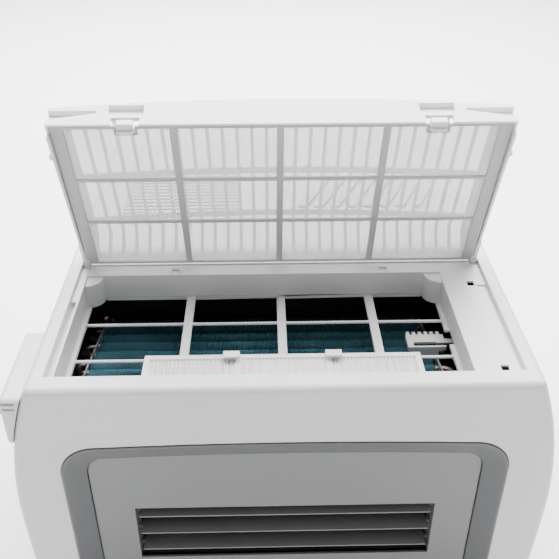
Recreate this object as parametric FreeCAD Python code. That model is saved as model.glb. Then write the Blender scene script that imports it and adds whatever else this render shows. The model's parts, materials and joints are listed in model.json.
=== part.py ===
import FreeCAD, Part
import math
import os

# Window air conditioner, millimetres. +X right, +Y towards the outdoor side, +Z up.
# The origin is at the middle of the base pan's underside.

V = FreeCAD.Vector
X_AXIS = V(1, 0, 0)
Y_AXIS = V(0, 1, 0)
Z_AXIS = V(0, 0, 1)

# ---- casing ----
DEPTH = 550.0
TOP_Z = 350.0
HALF_WIDTH = 260.0          # at the widest level of the barrel-shaped sides
WIDEST_Z = TOP_Z - 159.0
UPPER_SIDE_R = 431.0
LOWER_SIDE_R = 1490.0
CASE_LOW_Z = 4.0
FRONT_Y = -DEPTH / 2
REAR_Y = DEPTH / 2
SPLIT_Y = FRONT_Y + 245.0   # joint between the plastic front housing and the metal cabinet
WALL = 3.0
SHEET = 2.0
REAR_CORNER_R = 100.0
EDGE_R = 7.0
GAP = 0.4

# ---- top recess and intake opening ----
RECESS_DEPTH = 5.0
RECESS_Z = TOP_Z - RECESS_DEPTH
RECESS_LEFT = -216.5
RECESS_RIGHT = 216.5
RECESS_NEAR = FRONT_Y + 20.0
RECESS_FAR = FRONT_Y + 224.0
OPEN_LEFT = -209.0
OPEN_RIGHT = 172.0
OPEN_NEAR = FRONT_Y + 24.0
OPEN_FAR = FRONT_Y + 192.0
WELL_LOW_Z = TOP_Z - 32.5
BOSS_R = 17.5
CHANNEL_RIGHT = OPEN_LEFT - 2.2     # thin wall between the left channel and the well
CHANNEL_FAR = FRONT_Y + 143.0
CHANNEL_DEPTH = 6.0
LEDGE_LOOPS = (-114.0, 111.0)
LOOP_FAR = FRONT_Y + 204.3   # short of the path of the filter frame as it lifts out
BOSS_LOW_Z = WELL_LOW_Z - 3.0

# ---- lid, drawn closed and then turned to its open rest pose ----
LID_OPEN_DEG = 70.0
HINGE_Y = FRONT_Y + 212.0
HINGE_Z = TOP_Z - 4.0
LID_HALF = 214.5
LID_LENGTH = 198.0
LID_EDGE_H = 31.0
LID_CROWN = 10.0
LID_WALL = 2.5
LID_HEEL = 14.0             # length of the sloping wall by the hinge
LID_HEEL_LOW = 7.5          # height at which that slope starts
LID_SLOT_LOW = 10.0         # the crown's slots start above this height
LID_STEP = 10.0             # front skirt that passes over the recess's near rim
LID_STEP_H = 5.0
SLOT_PITCH = 14.4
SLOT_COUNT = 28
SLOT_BAR = 3.6
SLOT_ROWS = ((6.0, 36.0), (45.0, 101.0), (110.0, 192.0))
PIN_R = 2.0
PIN_BORE = 2.06

# ---- removable filter inside the lid ----
FILTER_HALF = 211.4
FILTER_NEAR_S = 1.5
FILTER_FAR_S = 195.0
FILTER_H = 0.4
FILTER_TILT = 1.5           # the far edge sits deeper in the lid, clear of the recess's near rim
FILTER_T = 3.0
FILTER_RIB = 6.5
FILTER_COLUMNS = (-100.0, -1.8, 96.5)
FILTER_ROWS = (68.0, 127.4)
FILTER_SIDE = 12.0
FILTER_END = 2.8
CATCH_X = 143.0
FILTER_MESH_T = 0.8

# ---- guard grid and strip filter in the intake well ----
GUARD_T = 3.4
GUARD_TOP = WELL_LOW_Z - GAP
GUARD_RIBS = (-98.5, -0.8, 95.5)
GUARD_RODS = (FRONT_Y + 82.5, FRONT_Y + 142.0)
GUARD_SIDE = 4.5
GUARD_FAR = 1.5
STRIP_X = (-136.0, 134.0)
STRIP_Y = (FRONT_Y + 26.0, FRONT_Y + 83.0)
STRIP_Z = WELL_LOW_Z + 0.4
STRIP_T = 4.0

# ---- evaporator: a slab leaning back under the opening ----
EVAP_TILT = 11.0
EVAP_NEAR_Y = FRONT_Y + 28.0
EVAP_NEAR_Z = TOP_Z - 38.0
EVAP_LENGTH = 180.0
EVAP_T = 32.0
EVAP_X = (-195.0, 155.0)
EVAP_TUBES = 9
EVAP_TUBE_PITCH = 19.5
EVAP_FIRST_TUBE = 9.0
EVAP_ROW_PITCH = 16.0
FIN_T = 0.6
FIN_PITCH = 6.0
TUBE_R = 4.0
TUBE_WALL = 0.7

# ---- room-side crossflow blower ----
BLOWER_Y = FRONT_Y + 118.0
BLOWER_Z = TOP_Z - 172.0
BLOWER_R = 50.0
BLOWER_HALF = 150.0
BLOWER_BLADES = 24
DUCT_LOW = TOP_Z - 240.0
DUCT_HIGH = TOP_Z - 165.0
DUCT_HALF = 158.0
SHAFT_R = 4.0
RUN_CLEAR = 0.05

# ---- front: surround, panel, outlet and controls ----
SURROUND_HALF = 211.0
SURROUND_TOP = TOP_Z - 70.0
SURROUND_LOW = TOP_Z - 334.0
SURROUND_CORNER = 34.0
SURROUND_DEPTH = 16.0
PANEL_HALF = 189.5
PANEL_TOP = TOP_Z - 93.0
PANEL_LOW = TOP_Z - 312.0
PANEL_CORNER = 19.0
PANEL_Y = FRONT_Y + 11.0
PANEL_T = 3.0
ARCH = 3.5
OUTLET_HALF = 150.0
LOUVER_Y = FRONT_Y + 22.0
LOUVER_CHORD = 22.0
LOUVER_COUNT = 3
LOUVER_PITCH = 25.0
VANE_Y = FRONT_Y + 48.0
VANE_COUNT = 4
VANE_PITCH = 75.0
VANE_CHORD = 26.0
VANE_CRANK = 11.0
CONTROL_Z = TOP_Z - 280.0
BUTTON_X = (-120.0, -80.0, 80.0, 120.0)
BUTTON_R = 9.0
BUTTON_PROUD = 2.0

# ---- outdoor half ----
FAN_Z = 180.0
FAN_R = 128.0
FAN_Y = 202.0
FAN_BLADES = 5
COND_X = 165.0
COND_Y = (238.0, 266.0)
COND_Z = (34.0, 326.0)
COND_TUBES = 12
COND_TUBE_PITCH = 24.0
COND_ROW_PITCH = 14.0
COMP_X = -140.0
COMP_Y = 55.0
COMP_R = 58.0
COMP_TOP = 212.0
FOOT_R = 66.0               # compressor foot centres from its axis
ACC_X = -196.0
ACC_Y = 122.0
ACC_R = 21.0
ACC_LOW = 70.0
ACC_HIGH = 190.0
DRIER_X = -222.0
DRIER_Y = 30.0
PAN_HALF = 236.0
PAN_NEAR = FRONT_Y + 18.0
PAN_FAR = 262.0
PAN_RIM = 28.0
BOLT_X = 170.0
BOLT_Y = (-120.0, 180.0)
BOLT_R = 3.5
RAIL_SCREW_X = 150.0
RAIL_SCREW_Y = 4.0
RAIL_HOLE_R = 2.1


# ---------- helpers ----------

def box(x0, x1, y0, y1, z0, z1):
    return Part.makeBox(x1 - x0, y1 - y0, z1 - z0, V(x0, y0, z0))


def rod(x, y, z, radius, length, axis):
    return Part.makeCylinder(radius, length, V(x, y, z), axis)


def tube(x, y, z, outer, inner, length, axis):
    return rod(x, y, z, outer, length, axis).cut(rod(x, y, z, inner, length, axis))


def fuse(shapes):
    first = shapes[0]
    if len(shapes) == 1:
        return first
    return first.multiFuse(shapes[1:]).removeSplitter()


def group(shapes):
    return Part.makeCompound(shapes)


def moved(shape, x=0.0, y=0.0, z=0.0):
    copy = shape.copy()
    copy.translate(V(x, y, z))
    return copy


def turned(shape, centre, axis, degrees):
    copy = shape.copy()
    copy.rotate(centre, axis, degrees)
    return copy


def polygon_x(points, x0, x1):
    """Prism along X of a (y, z) outline."""
    wire = Part.makePolygon([V(x0, y, z) for y, z in points + points[:1]])
    return Part.Face(wire).extrude(V(x1 - x0, 0, 0))


def rounded_outline(half, low, high, radius, arch, y):
    """Rounded rectangle in a plane of constant Y, with a slightly arched top edge."""
    k = radius * (1 - math.sqrt(0.5))
    left_low, right_low = V(-half + radius, y, low), V(half - radius, y, low)
    edges = [Part.LineSegment(left_low, right_low)]
    edges.append(Part.Arc(right_low, V(half - k, y, low + k), V(half, y, low + radius)))
    edges.append(Part.LineSegment(V(half, y, low + radius), V(half, y, high - radius)))
    edges.append(Part.Arc(V(half, y, high - radius), V(half - k, y, high - k), V(half - radius, y, high)))
    edges.append(Part.Arc(V(half - radius, y, high), V(0, y, high + arch), V(-half + radius, y, high)))
    corner = V(-half + k, y, high - k)
    edges.append(Part.Arc(V(-half + radius, y, high), corner, V(-half, y, high - radius)))
    edges.append(Part.LineSegment(V(-half, y, high - radius), V(-half, y, low + radius)))
    edges.append(Part.Arc(V(-half, y, low + radius), V(-half + k, y, low + k), left_low))
    return Part.Wire([edge.toShape() for edge in edges])


def rounded_slab(half, low, high, radius, arch, y0, y1):
    wire = rounded_outline(half, low, high, radius, arch, y0)
    return Part.Face(wire).extrude(V(0, y1 - y0, 0))


def fillet_where(shape, radius, test):
    edges = [edge for edge in shape.Edges if test(edge)]
    if not edges:
        return shape
    return shape.makeFillet(radius, edges)


def pipe(points, radius, bend, inner=0.0):
    """Tube along straight runs joined by tangent arcs."""
    corners = [V(*point) for point in points]
    edges = []
    start = corners[0]
    for before, corner, after in zip(corners, corners[1:], corners[2:]):
        into = (corner - before).normalize()
        out = (after - corner).normalize()
        half_turn = into.getAngle(out) / 2
        back = bend * math.tan(half_turn)
        first = corner - into * back
        last = corner + out * back
        inward = (out - into).normalize()
        middle = corner + inward * (bend / math.cos(half_turn) - bend)
        edges.append(Part.LineSegment(start, first).toShape())
        edges.append(Part.Arc(first, middle, last).toShape())
        start = last
    edges.append(Part.LineSegment(start, corners[-1]).toShape())
    path = Part.Wire(edges)
    direction = (corners[1] - corners[0]).normalize()
    solid = path.makePipeShell([Part.Wire(Part.makeCircle(radius, corners[0], direction))], True, False)
    if inner:
        core = path.makePipeShell([Part.Wire(Part.makeCircle(inner, corners[0], direction))], True, False)
        return solid.cut(core)
    return solid


def side_x(z, inset=0.0):
    """Half-width of the casing at height z."""
    radius = UPPER_SIDE_R if z >= WIDEST_Z else LOWER_SIDE_R
    centre = HALF_WIDTH - radius
    return centre + math.sqrt((radius - inset) ** 2 - (z - WIDEST_Z) ** 2)


def case_section(inset, low, high, y):
    """Barrel-sided cross-section of the casing, as a face at the given Y."""
    def point(sign, z):
        return V(sign * side_x(z, inset), y, z)

    def side(sign):
        lower = Part.Arc(point(sign, low), point(sign, (low + WIDEST_Z) / 2), point(sign, WIDEST_Z))
        upper = Part.Arc(point(sign, WIDEST_Z), point(sign, (high + WIDEST_Z) / 2), point(sign, high))
        return [lower.toShape(), upper.toShape()]

    bottom = Part.LineSegment(point(-1, low), point(1, low)).toShape()
    top = Part.LineSegment(point(1, high), point(-1, high)).toShape()
    right = side(1)
    left = [edge for edge in reversed(side(-1))]
    return Part.Face(Part.Wire([bottom] + right + [top] + left))


def case_block(inset, low, high, y0, y1):
    return case_section(inset, low, high, y0).extrude(V(0, y1 - y0, 0))


def rear_plan(inset, low, high):
    """Upright prism with the cabinet's rounded rear corners."""
    radius = REAR_CORNER_R - inset
    cx = HALF_WIDTH - REAR_CORNER_R + 2
    cy = REAR_Y - REAR_CORNER_R
    k = radius * math.sqrt(0.5)
    wide = cx + radius
    near = SPLIT_Y - 10
    edges = [Part.LineSegment(V(-wide, near, low), V(wide, near, low))]
    edges.append(Part.LineSegment(V(wide, near, low), V(wide, cy, low)))
    edges.append(Part.Arc(V(wide, cy, low), V(cx + k, cy + k, low), V(cx, cy + radius, low)))
    edges.append(Part.LineSegment(V(cx, cy + radius, low), V(-cx, cy + radius, low)))
    edges.append(Part.Arc(V(-cx, cy + radius, low), V(-cx - k, cy + k, low), V(-wide, cy, low)))
    edges.append(Part.LineSegment(V(-wide, cy, low), V(-wide, near, low)))
    face = Part.Face(Part.Wire([edge.toShape() for edge in edges]))
    return face.extrude(V(0, 0, high - low))


# ---------- room-side housing ----------

def screw_places():
    """Heads of the side screws that hold the cabinet to the base pan: x sign, y, z."""
    return [(sign, y, 16.0) for sign in (-1, 1) for y in (30.0, 160.0)]


def make_front_housing():
    outer = case_block(0, CASE_LOW_Z, TOP_Z, FRONT_Y, SPLIT_Y)

    def soft_edge(edge):
        bounds = edge.BoundBox
        at_front = bounds.YMax < FRONT_Y + 0.01 and bounds.ZMax > CASE_LOW_Z + 1
        along_top = bounds.ZMin > TOP_Z - 0.01 and bounds.YLength > 10
        return at_front or along_top

    outer = fillet_where(outer, EDGE_R, soft_edge)
    inner = case_block(WALL, CASE_LOW_Z - 1, TOP_Z - WALL, FRONT_Y + WALL, SPLIT_Y + 1)
    shell = outer.cut(inner)
    tray = box(RECESS_LEFT - WALL, RECESS_RIGHT + WALL, RECESS_NEAR - WALL, RECESS_FAR + WALL,
               RECESS_Z - WALL, TOP_Z - WALL / 2)
    well = box(OPEN_LEFT - WALL, OPEN_RIGHT + WALL, OPEN_NEAR - WALL, OPEN_FAR + WALL,
               WELL_LOW_Z, RECESS_Z - WALL / 2)
    channel_block = box(RECESS_LEFT - WALL, OPEN_LEFT, RECESS_NEAR, CHANNEL_FAR + WALL,
                        RECESS_Z - CHANNEL_DEPTH - WALL, RECESS_Z - WALL / 2)
    blocks = [channel_block]
    for x0, x1 in ((RECESS_LEFT, RECESS_LEFT + 8), (RECESS_RIGHT - 8, RECESS_RIGHT)):
        blocks.append(box(x0 - WALL, x1 + WALL, HINGE_Y - 9, HINGE_Y + 9, RECESS_Z - 7, RECESS_Z - 1))
    shell = fuse([shell, tray, well] + blocks)
    cuts = [box(RECESS_LEFT, RECESS_RIGHT, RECESS_NEAR, RECESS_FAR, RECESS_Z, TOP_Z + 1)]
    cuts.append(box(OPEN_LEFT, OPEN_RIGHT, OPEN_NEAR, OPEN_FAR, WELL_LOW_Z - 1, TOP_Z))
    # a channel beside the opening on the left, a shallow gutter on the right
    cuts.append(box(RECESS_LEFT, CHANNEL_RIGHT, RECESS_NEAR + 2, CHANNEL_FAR,
                    RECESS_Z - CHANNEL_DEPTH, TOP_Z))
    cuts.append(box(206.0, RECESS_RIGHT, FRONT_Y + 24, FRONT_Y + 166, RECESS_Z - 1.6, TOP_Z))
    # square holes for the lid's catches in the wide right margin
    for y in (FRONT_Y + 25.0, FRONT_Y + 165.0):
        cuts.append(box(197.0, 204.0, y, y + 8, RECESS_Z - 8, TOP_Z))
    # shallow windows inside the loops on the ledge
    for x in LEDGE_LOOPS:
        cuts.append(box(x - 4.3, x + 4.3, OPEN_FAR + 4.5, LOOP_FAR - 2.2, RECESS_Z - 1.5, TOP_Z))
    # pockets and bores for the lid's hinge knuckles
    for x0, x1 in ((RECESS_LEFT, RECESS_LEFT + 8), (RECESS_RIGHT - 8, RECESS_RIGHT)):
        cuts.append(box(x0, x1, HINGE_Y - 6, HINGE_Y + 6, RECESS_Z - 4, TOP_Z))
    cuts.append(rod(RECESS_LEFT - WALL - 1, HINGE_Y, HINGE_Z, PIN_BORE,
                    RECESS_RIGHT - RECESS_LEFT + 2 * WALL + 2, X_AXIS))
    # window for the gray surround
    cuts.append(rounded_slab(SURROUND_HALF + GAP, SURROUND_LOW - GAP, SURROUND_TOP + GAP,
                             SURROUND_CORNER, ARCH, FRONT_Y - 1, FRONT_Y + WALL + 1))
    # outlet for the cord bush, low on the right side
    cuts.append(rod(230, FRONT_Y + 205, 46, 7.0, 40, X_AXIS))
    # screw behind the pod
    cuts.append(rod(-262, FRONT_Y + 12, TOP_Z - 31, 2.05, 30, X_AXIS))
    shell = shell.cut(group(cuts))
    extras = []
    for x in (OPEN_LEFT, OPEN_RIGHT):
        column = rod(x, OPEN_FAR, BOSS_LOW_Z, BOSS_R, RECESS_Z - 2 - BOSS_LOW_Z, Z_AXIS)
        corner = box(OPEN_LEFT - 1, OPEN_RIGHT + 1, OPEN_FAR - 30, OPEN_FAR + 1, BOSS_LOW_Z, TOP_Z)
        extras.append(column.common(corner))
    # low U-shaped loops on the ledge in front of the lid
    for x in LEDGE_LOOPS:
        loop = box(x - 6.5, x + 6.5, OPEN_FAR + 3.5, LOOP_FAR, RECESS_Z - 0.5, RECESS_Z + 1.1)
        inside = box(x - 4.3, x + 4.3, OPEN_FAR + 2.5, LOOP_FAR - 2.2, RECESS_Z - 1, RECESS_Z + 2)
        extras.append(loop.cut(inside))
    return fuse([shell] + extras)


def make_coil_guard():
    low, high = GUARD_TOP - GUARD_T, GUARD_TOP
    outer = box(OPEN_LEFT - WALL, OPEN_RIGHT + WALL, OPEN_NEAR - WALL, OPEN_FAR + WALL, low, high)
    window = box(OPEN_LEFT + GUARD_SIDE, OPEN_RIGHT - GUARD_SIDE, OPEN_NEAR + GUARD_SIDE,
                 OPEN_FAR - GUARD_FAR, low - 1, high + 1)
    pieces = [outer.cut(window)]
    for x in GUARD_RIBS:
        pieces.append(box(x - 4.5, x + 4.5, OPEN_NEAR, OPEN_FAR, low, high))
    for y in GUARD_RODS:
        pieces.append(rod(OPEN_LEFT, y, high - 1.7, 1.7, OPEN_RIGHT - OPEN_LEFT, X_AXIS))
    guard = fuse(pieces)
    cuts = [box(OPEN_RIGHT - GUARD_SIDE - 1, OPEN_RIGHT + 1, FRONT_Y + 101, FRONT_Y + 124,
                low - 1, high + 1)]
    side = 1 + GAP
    boss_zone = box(OPEN_LEFT - side, OPEN_RIGHT + side, OPEN_FAR - 30, OPEN_FAR + side, low - 1, high + 1)
    for x in (OPEN_LEFT, OPEN_RIGHT):
        cuts.append(rod(x, OPEN_FAR, low - 1, BOSS_R + GAP, high - low + 2, Z_AXIS).common(boss_zone))
    return guard.cut(group(cuts))


def make_strip_filter():
    x0, x1 = STRIP_X
    y0, y1 = STRIP_Y
    edge = 6.0
    frame = box(x0, x1, y0, y1, STRIP_Z, STRIP_Z + STRIP_T)
    for index in range(3):
        width = (x1 - x0 - 4 * edge) / 3
        left = x0 + edge + index * (width + edge)
        frame = frame.cut(box(left, left + width, y0 + edge, y1 - edge, STRIP_Z - 1, STRIP_Z + STRIP_T + 1))
    tabs = []
    for x in (-51.0, 48.0):
        tabs.append(box(x - 8, x + 8, y1 - 6, y1 - 3, STRIP_Z + 1, STRIP_Z + 11))
        tabs.append(box(x - 8, x + 8, y1 - 12, y1 - 3, STRIP_Z + 9, STRIP_Z + 11))
    mesh = []
    for index in range(3):
        width = (x1 - x0 - 4 * edge) / 3
        left = x0 + edge + index * (width + edge)
        mesh.append(box(left, left + width, y0 + edge, y1 - edge, STRIP_Z + 1.5, STRIP_Z + 2.3))
    return fuse([frame] + tabs), group(mesh)


# ---------- lid ----------

def lid_section(half, low, edge_high, crown, s):
    """Crowned cross-section of the closed lid at distance s from the hinge."""
    y = HINGE_Y - s
    base = HINGE_Z
    corners = [V(-half, y, base + low), V(half, y, base + low), V(half, y, base + edge_high)]
    last = V(-half, y, base + edge_high)
    edges = [Part.LineSegment(corners[0], corners[1]), Part.LineSegment(corners[1], corners[2])]
    edges.append(Part.Arc(corners[2], V(0, y, base + edge_high + crown), last))
    edges.append(Part.LineSegment(last, corners[0]))
    return Part.Face(Part.Wire([edge.toShape() for edge in edges]))


def lid_block(half, low, edge_high, crown, s0, s1, heel, heel_low):
    block = lid_section(half, low, edge_high, crown, s0).extrude(V(0, s0 - s1, 0))
    high = HINGE_Z + edge_high + crown + 5
    slope = (edge_high - heel_low) / heel
    top_s = s0 + (high - HINGE_Z - heel_low) / slope
    wedge = polygon_x([(HINGE_Y - s0 + 1, HINGE_Z + heel_low), (HINGE_Y - s0, HINGE_Z + heel_low),
                       (HINGE_Y - top_s, high), (HINGE_Y - s0 + 1, high)], -half - 1, half + 1)
    return block.cut(wedge)


def open_lid(shape):
    return turned(shape, V(0, HINGE_Y, HINGE_Z), V(-1, 0, 0), LID_OPEN_DEG)


def lid_box(x0, x1, s0, s1, h0, h1):
    """Box in the closed lid: across, distance from the hinge, height above the rim."""
    return box(x0, x1, HINGE_Y - s1, HINGE_Y - s0, HINGE_Z + h0, HINGE_Z + h1)


def end_slot(sign, depth):
    """Tapered slot at one end of the lid's front face."""
    far_y = HINGE_Y - LID_LENGTH
    points = [(LID_HALF + 1, 12.5), (LID_HALF + 1, 24.0), (170.0, 24.0), (170.0, 21.5)]
    corners = [V(sign * x, far_y - 1, HINGE_Z + h) for x, h in points]
    face = Part.Face(Part.makePolygon(corners + corners[:1]))
    return face.extrude(V(0, depth + 1, 0))


def make_lid_shell():
    outer = lid_block(LID_HALF, 0, LID_EDGE_H, LID_CROWN, 1.0, LID_LENGTH, LID_HEEL, LID_HEEL_LOW)
    inner = lid_block(LID_HALF - LID_WALL, -1, LID_EDGE_H - LID_WALL, LID_CROWN,
                      1.0 + LID_WALL, LID_LENGTH - LID_WALL, LID_HEEL, LID_HEEL_LOW - LID_WALL)

    def soft_edge(edge):
        bounds = edge.BoundBox
        on_side = bounds.XMin > LID_HALF - 0.01 or bounds.XMax < -LID_HALF + 0.01
        along_top = on_side and bounds.ZMin > HINGE_Z + LID_EDGE_H - 0.1 and bounds.YLength > 50
        at_end = bounds.YMax < HINGE_Y - LID_LENGTH + 0.01 and bounds.ZMin > HINGE_Z + LID_EDGE_H - 0.1
        return along_top or at_end

    shell = fillet_where(outer, 2.0, soft_edge).cut(inner)
    far_s = LID_LENGTH
    cuts = [lid_box(-LID_HALF - 1, LID_HALF + 1, far_s - LID_STEP, far_s + 1, -1, LID_STEP_H)]
    cuts.append(lid_box(-FILTER_HALF - GAP, FILTER_HALF + GAP, 0, FILTER_NEAR_S + 3,
                        -1, FILTER_H + FILTER_T + GAP))
    span = SLOT_PITCH - SLOT_BAR
    for index in range(SLOT_COUNT):
        left = (index - SLOT_COUNT / 2) * SLOT_PITCH + SLOT_BAR / 2
        for s0, s1 in SLOT_ROWS:
            cuts.append(lid_box(left, left + span, s0, s1, LID_SLOT_LOW, 60))
    shell = shell.cut(group(cuts))
    # backing of the pockets and end slots in the front face, then the pockets themselves
    backs = []
    pockets = []
    for sign in (-1, 1):
        x = sign * CATCH_X
        backs.append(lid_box(x - 18, x + 18, far_s - 7.5, far_s - 1, 18.0, 33.0))
        backs.append(lid_box(min(sign * 168, sign * (LID_HALF - 1)), max(sign * 168, sign * (LID_HALF - 1)),
                             far_s - 7.5, far_s - 1, 10.5, 26.0))
        pockets.append(lid_box(x - 16, x + 16, far_s - 5.5, far_s + 1, 20.0, 31.0))
        pockets.append(lid_box(x - 13, x + 13, far_s - 3, far_s + 1, LID_STEP_H - 1, 14.5))
        pockets.append(end_slot(sign, 5.5))
    shell = fuse([shell] + backs).cut(group(pockets))
    extras = []
    for sign in (-1, 1):
        x = sign * LID_HALF
        ear = rod(min(x, x - sign * 5), HINGE_Y, HINGE_Z, 3.6, 5, X_AXIS)
        web = lid_box(min(x, x - sign * 5), max(x, x - sign * 5), 0, 8, 0, 3.6)
        arm = lid_box(min(x - sign, x + sign * 1.4), max(x - sign, x + sign * 1.4), -0.5, 32, 0.6, 6)
        extras += [ear, web, arm]
        extras.append(rod(min(x - sign, x + sign * 4.5), HINGE_Y - 156, HINGE_Z + 8.5, 3.5, 5.5, X_AXIS))
        extras += lid_catch(sign * CATCH_X)
    shell = fuse([shell] + extras)
    for sign in (-1, 1):
        x = sign * LID_HALF
        shell = shell.cut(rod(min(x - sign * 5.5, x + sign * 2), HINGE_Y, HINGE_Z, PIN_R, 7.5, X_AXIS))
    return open_lid(shell)


def lid_catch(x):
    """Stepped spring catch behind a notch in the lid's front lip."""
    far_s = LID_LENGTH
    link = lid_box(x - 7.5, x + 7.5, far_s - 9.5, far_s - 0.4, LID_STEP_H + 0.2, 8.0)
    face = lid_box(x - 7.5, x + 7.5, far_s - 2.9, far_s - 0.4, LID_STEP_H + 0.2, 11.8)
    hook = lid_box(x - 7.5, x + 7.5, far_s - 9.5, far_s - 6.7, 2.2, 8.0)
    bridge = lid_box(x - 7.5, x + 7.5, far_s - 2.9, far_s - 1.5, 11.0, 16.0)
    return [link, face, hook, bridge]


def filter_place(shape):
    """Tilt a shape drawn level with the rim to the filter's lean, still in the closed lid."""
    return turned(shape, V(0, HINGE_Y - FILTER_NEAR_S, HINGE_Z + FILTER_H), X_AXIS, -FILTER_TILT)


def make_lid_rails():
    """Inner rails along the lid's sides, which hold the filter by its edges."""
    rails = []
    for sign in (-1, 1):
        wall_x = sign * (LID_HALF - LID_WALL)
        inner_x = wall_x - sign * 8.0
        low = FILTER_H + FILTER_T + GAP
        rails.append(lid_box(min(wall_x, inner_x), max(wall_x, inner_x), 26, 184, low, low + 2.0))
    return open_lid(filter_place(group(rails)))


def make_lid_pins():
    pins = []
    for sign in (-1, 1):
        x = sign * LID_HALF
        pins.append(rod(min(x - sign * 5, x + sign * 4.6), HINGE_Y, HINGE_Z, PIN_R, 9.6, X_AXIS))
    return open_lid(group(pins))


def filter_cells():
    """Windows of the filter frame: left, right, near and far limits of each."""
    columns = (-FILTER_HALF + FILTER_SIDE - FILTER_RIB / 2,) + FILTER_COLUMNS
    columns = columns + (FILTER_HALF - FILTER_SIDE + FILTER_RIB / 2,)
    rows = (FILTER_NEAR_S + FILTER_END - 2,) + FILTER_ROWS + (FILTER_FAR_S - FILTER_END + 2,)
    cells = []
    for left, right in zip(columns, columns[1:]):
        for near, far in zip(rows, rows[1:]):
            cells.append((left + FILTER_RIB / 2, right - FILTER_RIB / 2, near + 2, far - 2))
    return cells


def catch_notches(width, depth):
    """Room in the filter's far edge for the lid's catches."""
    half = width / 2
    s0, s1 = FILTER_FAR_S - depth, FILTER_FAR_S + 1
    low, high = FILTER_H - 1, FILTER_H + FILTER_T + 1
    return [lid_box(x - half, x + half, s0, s1, low, high) for x in (-CATCH_X, CATCH_X)]


def make_filter_frame():
    low, high = FILTER_H, FILTER_H + FILTER_T
    frame = lid_box(-FILTER_HALF, FILTER_HALF, FILTER_NEAR_S, FILTER_FAR_S, low, high)
    cuts = [lid_box(x0, x1, s0, s1, low - 1, high + 1) for x0, x1, s0, s1 in filter_cells()]
    frame = frame.cut(group(cuts))
    surrounds = []
    for sign in (-1, 1):
        x = sign * CATCH_X
        surrounds.append(lid_box(x - 11, x + 11, FILTER_FAR_S - 10.5, FILTER_FAR_S, low, high))
    frame = fuse([frame] + surrounds)
    corners = []
    for sign in (-1, 1):
        x0, x1 = sorted((sign * (LID_HALF - 5.4), sign * (FILTER_HALF + 1)))
        corners.append(lid_box(x0, x1, FILTER_NEAR_S - 1, 9.0, low - 1, high + 1))
    frame = frame.cut(group(catch_notches(17.0, 8.5) + corners))
    return open_lid(filter_place(frame))


def make_filter_mesh():
    low = FILTER_H + (FILTER_T - FILTER_MESH_T) / 2
    panes = [lid_box(x0, x1, s0, s1, low, low + FILTER_MESH_T) for x0, x1, s0, s1 in filter_cells()]
    surround = catch_notches(22.0, 10.5)
    panes = [pane.cut(group(surround)) for pane in panes]
    return open_lid(filter_place(group(panes)))


# ---------- evaporator ----------

def evap_place(shape):
    """Turn a slab drawn flat, with its near top edge at the pivot, to its lean."""
    return turned(shape, V(0, EVAP_NEAR_Y, EVAP_NEAR_Z), X_AXIS, -EVAP_TILT)


def evap_tube_centres():
    centres = []
    for row in range(2):
        z = EVAP_NEAR_Z - EVAP_T / 2 + (0.5 - row) * EVAP_ROW_PITCH
        first = EVAP_NEAR_Y + EVAP_FIRST_TUBE + (EVAP_TUBE_PITCH / 3 if row else 0)
        centres += [(first + index * EVAP_TUBE_PITCH, z) for index in range(EVAP_TUBES)]
    return centres


def fin_stack(plate, centres, x0, x1):
    """One pierced plate repeated along X."""
    holes = [rod(x0 - 1, y, z, TUBE_R + RUN_CLEAR, 3, X_AXIS) for y, z in centres]
    pierced = plate.cut(group(holes))
    count = int((x1 - x0) / FIN_PITCH)
    return [moved(pierced, x=index * FIN_PITCH) for index in range(count)]


def return_bend(x, y_a, z_a, y_b, z_b, direction):
    """Half-round bend joining two tube ends at x."""
    centre = V(x, (y_a + y_b) / 2, (z_a + z_b) / 2)
    start = V(x, y_a, z_a)
    span = (V(x, y_b, z_b) - start).Length / 2
    top = centre + V(direction * span, 0, 0)
    path = Part.Wire([Part.Arc(start, top, V(x, y_b, z_b)).toShape()])
    ring = Part.Wire(Part.makeCircle(TUBE_R, start, X_AXIS))
    return path.makePipeShell([ring], True, False)


def coil_tubes(centres, per_row, x0, x1):
    """Straight tubes with return bends in pairs, each serpentine row one solid."""
    rows = []
    for row in range(2):
        line = centres[row * per_row:(row + 1) * per_row]
        pieces = [rod(x0, y, z, TUBE_R, x1 - x0, X_AXIS) for y, z in line]
        for index in range(per_row - 1):
            end, direction = (x1, 1) if index % 2 == 0 else (x0, -1)
            pieces.append(return_bend(end, *line[index], *line[index + 1], direction))
        rows.append(fuse(pieces))
    return group(rows)


def make_evaporator():
    x0, x1 = EVAP_X
    plate = box(x0, x0 + FIN_T, EVAP_NEAR_Y, EVAP_NEAR_Y + EVAP_LENGTH, EVAP_NEAR_Z - EVAP_T, EVAP_NEAR_Z)
    centres = evap_tube_centres()
    fins = evap_place(group(fin_stack(plate, centres, x0, x1)))
    tubes = evap_place(coil_tubes(centres, EVAP_TUBES, x0 - 5, x1 + 5))
    sheets = []
    for x in (x0 - 3, x1 + 1.8):
        sheet = box(x, x + 1.2, EVAP_NEAR_Y, EVAP_NEAR_Y + EVAP_LENGTH, EVAP_NEAR_Z - EVAP_T, EVAP_NEAR_Z)
        holes = [rod(x - 1, y, z, TUBE_R + RUN_CLEAR, 4, X_AXIS) for y, z in centres]
        sheets.append(sheet.cut(group(holes)))
    return fins, tubes, evap_place(group(sheets))


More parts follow.
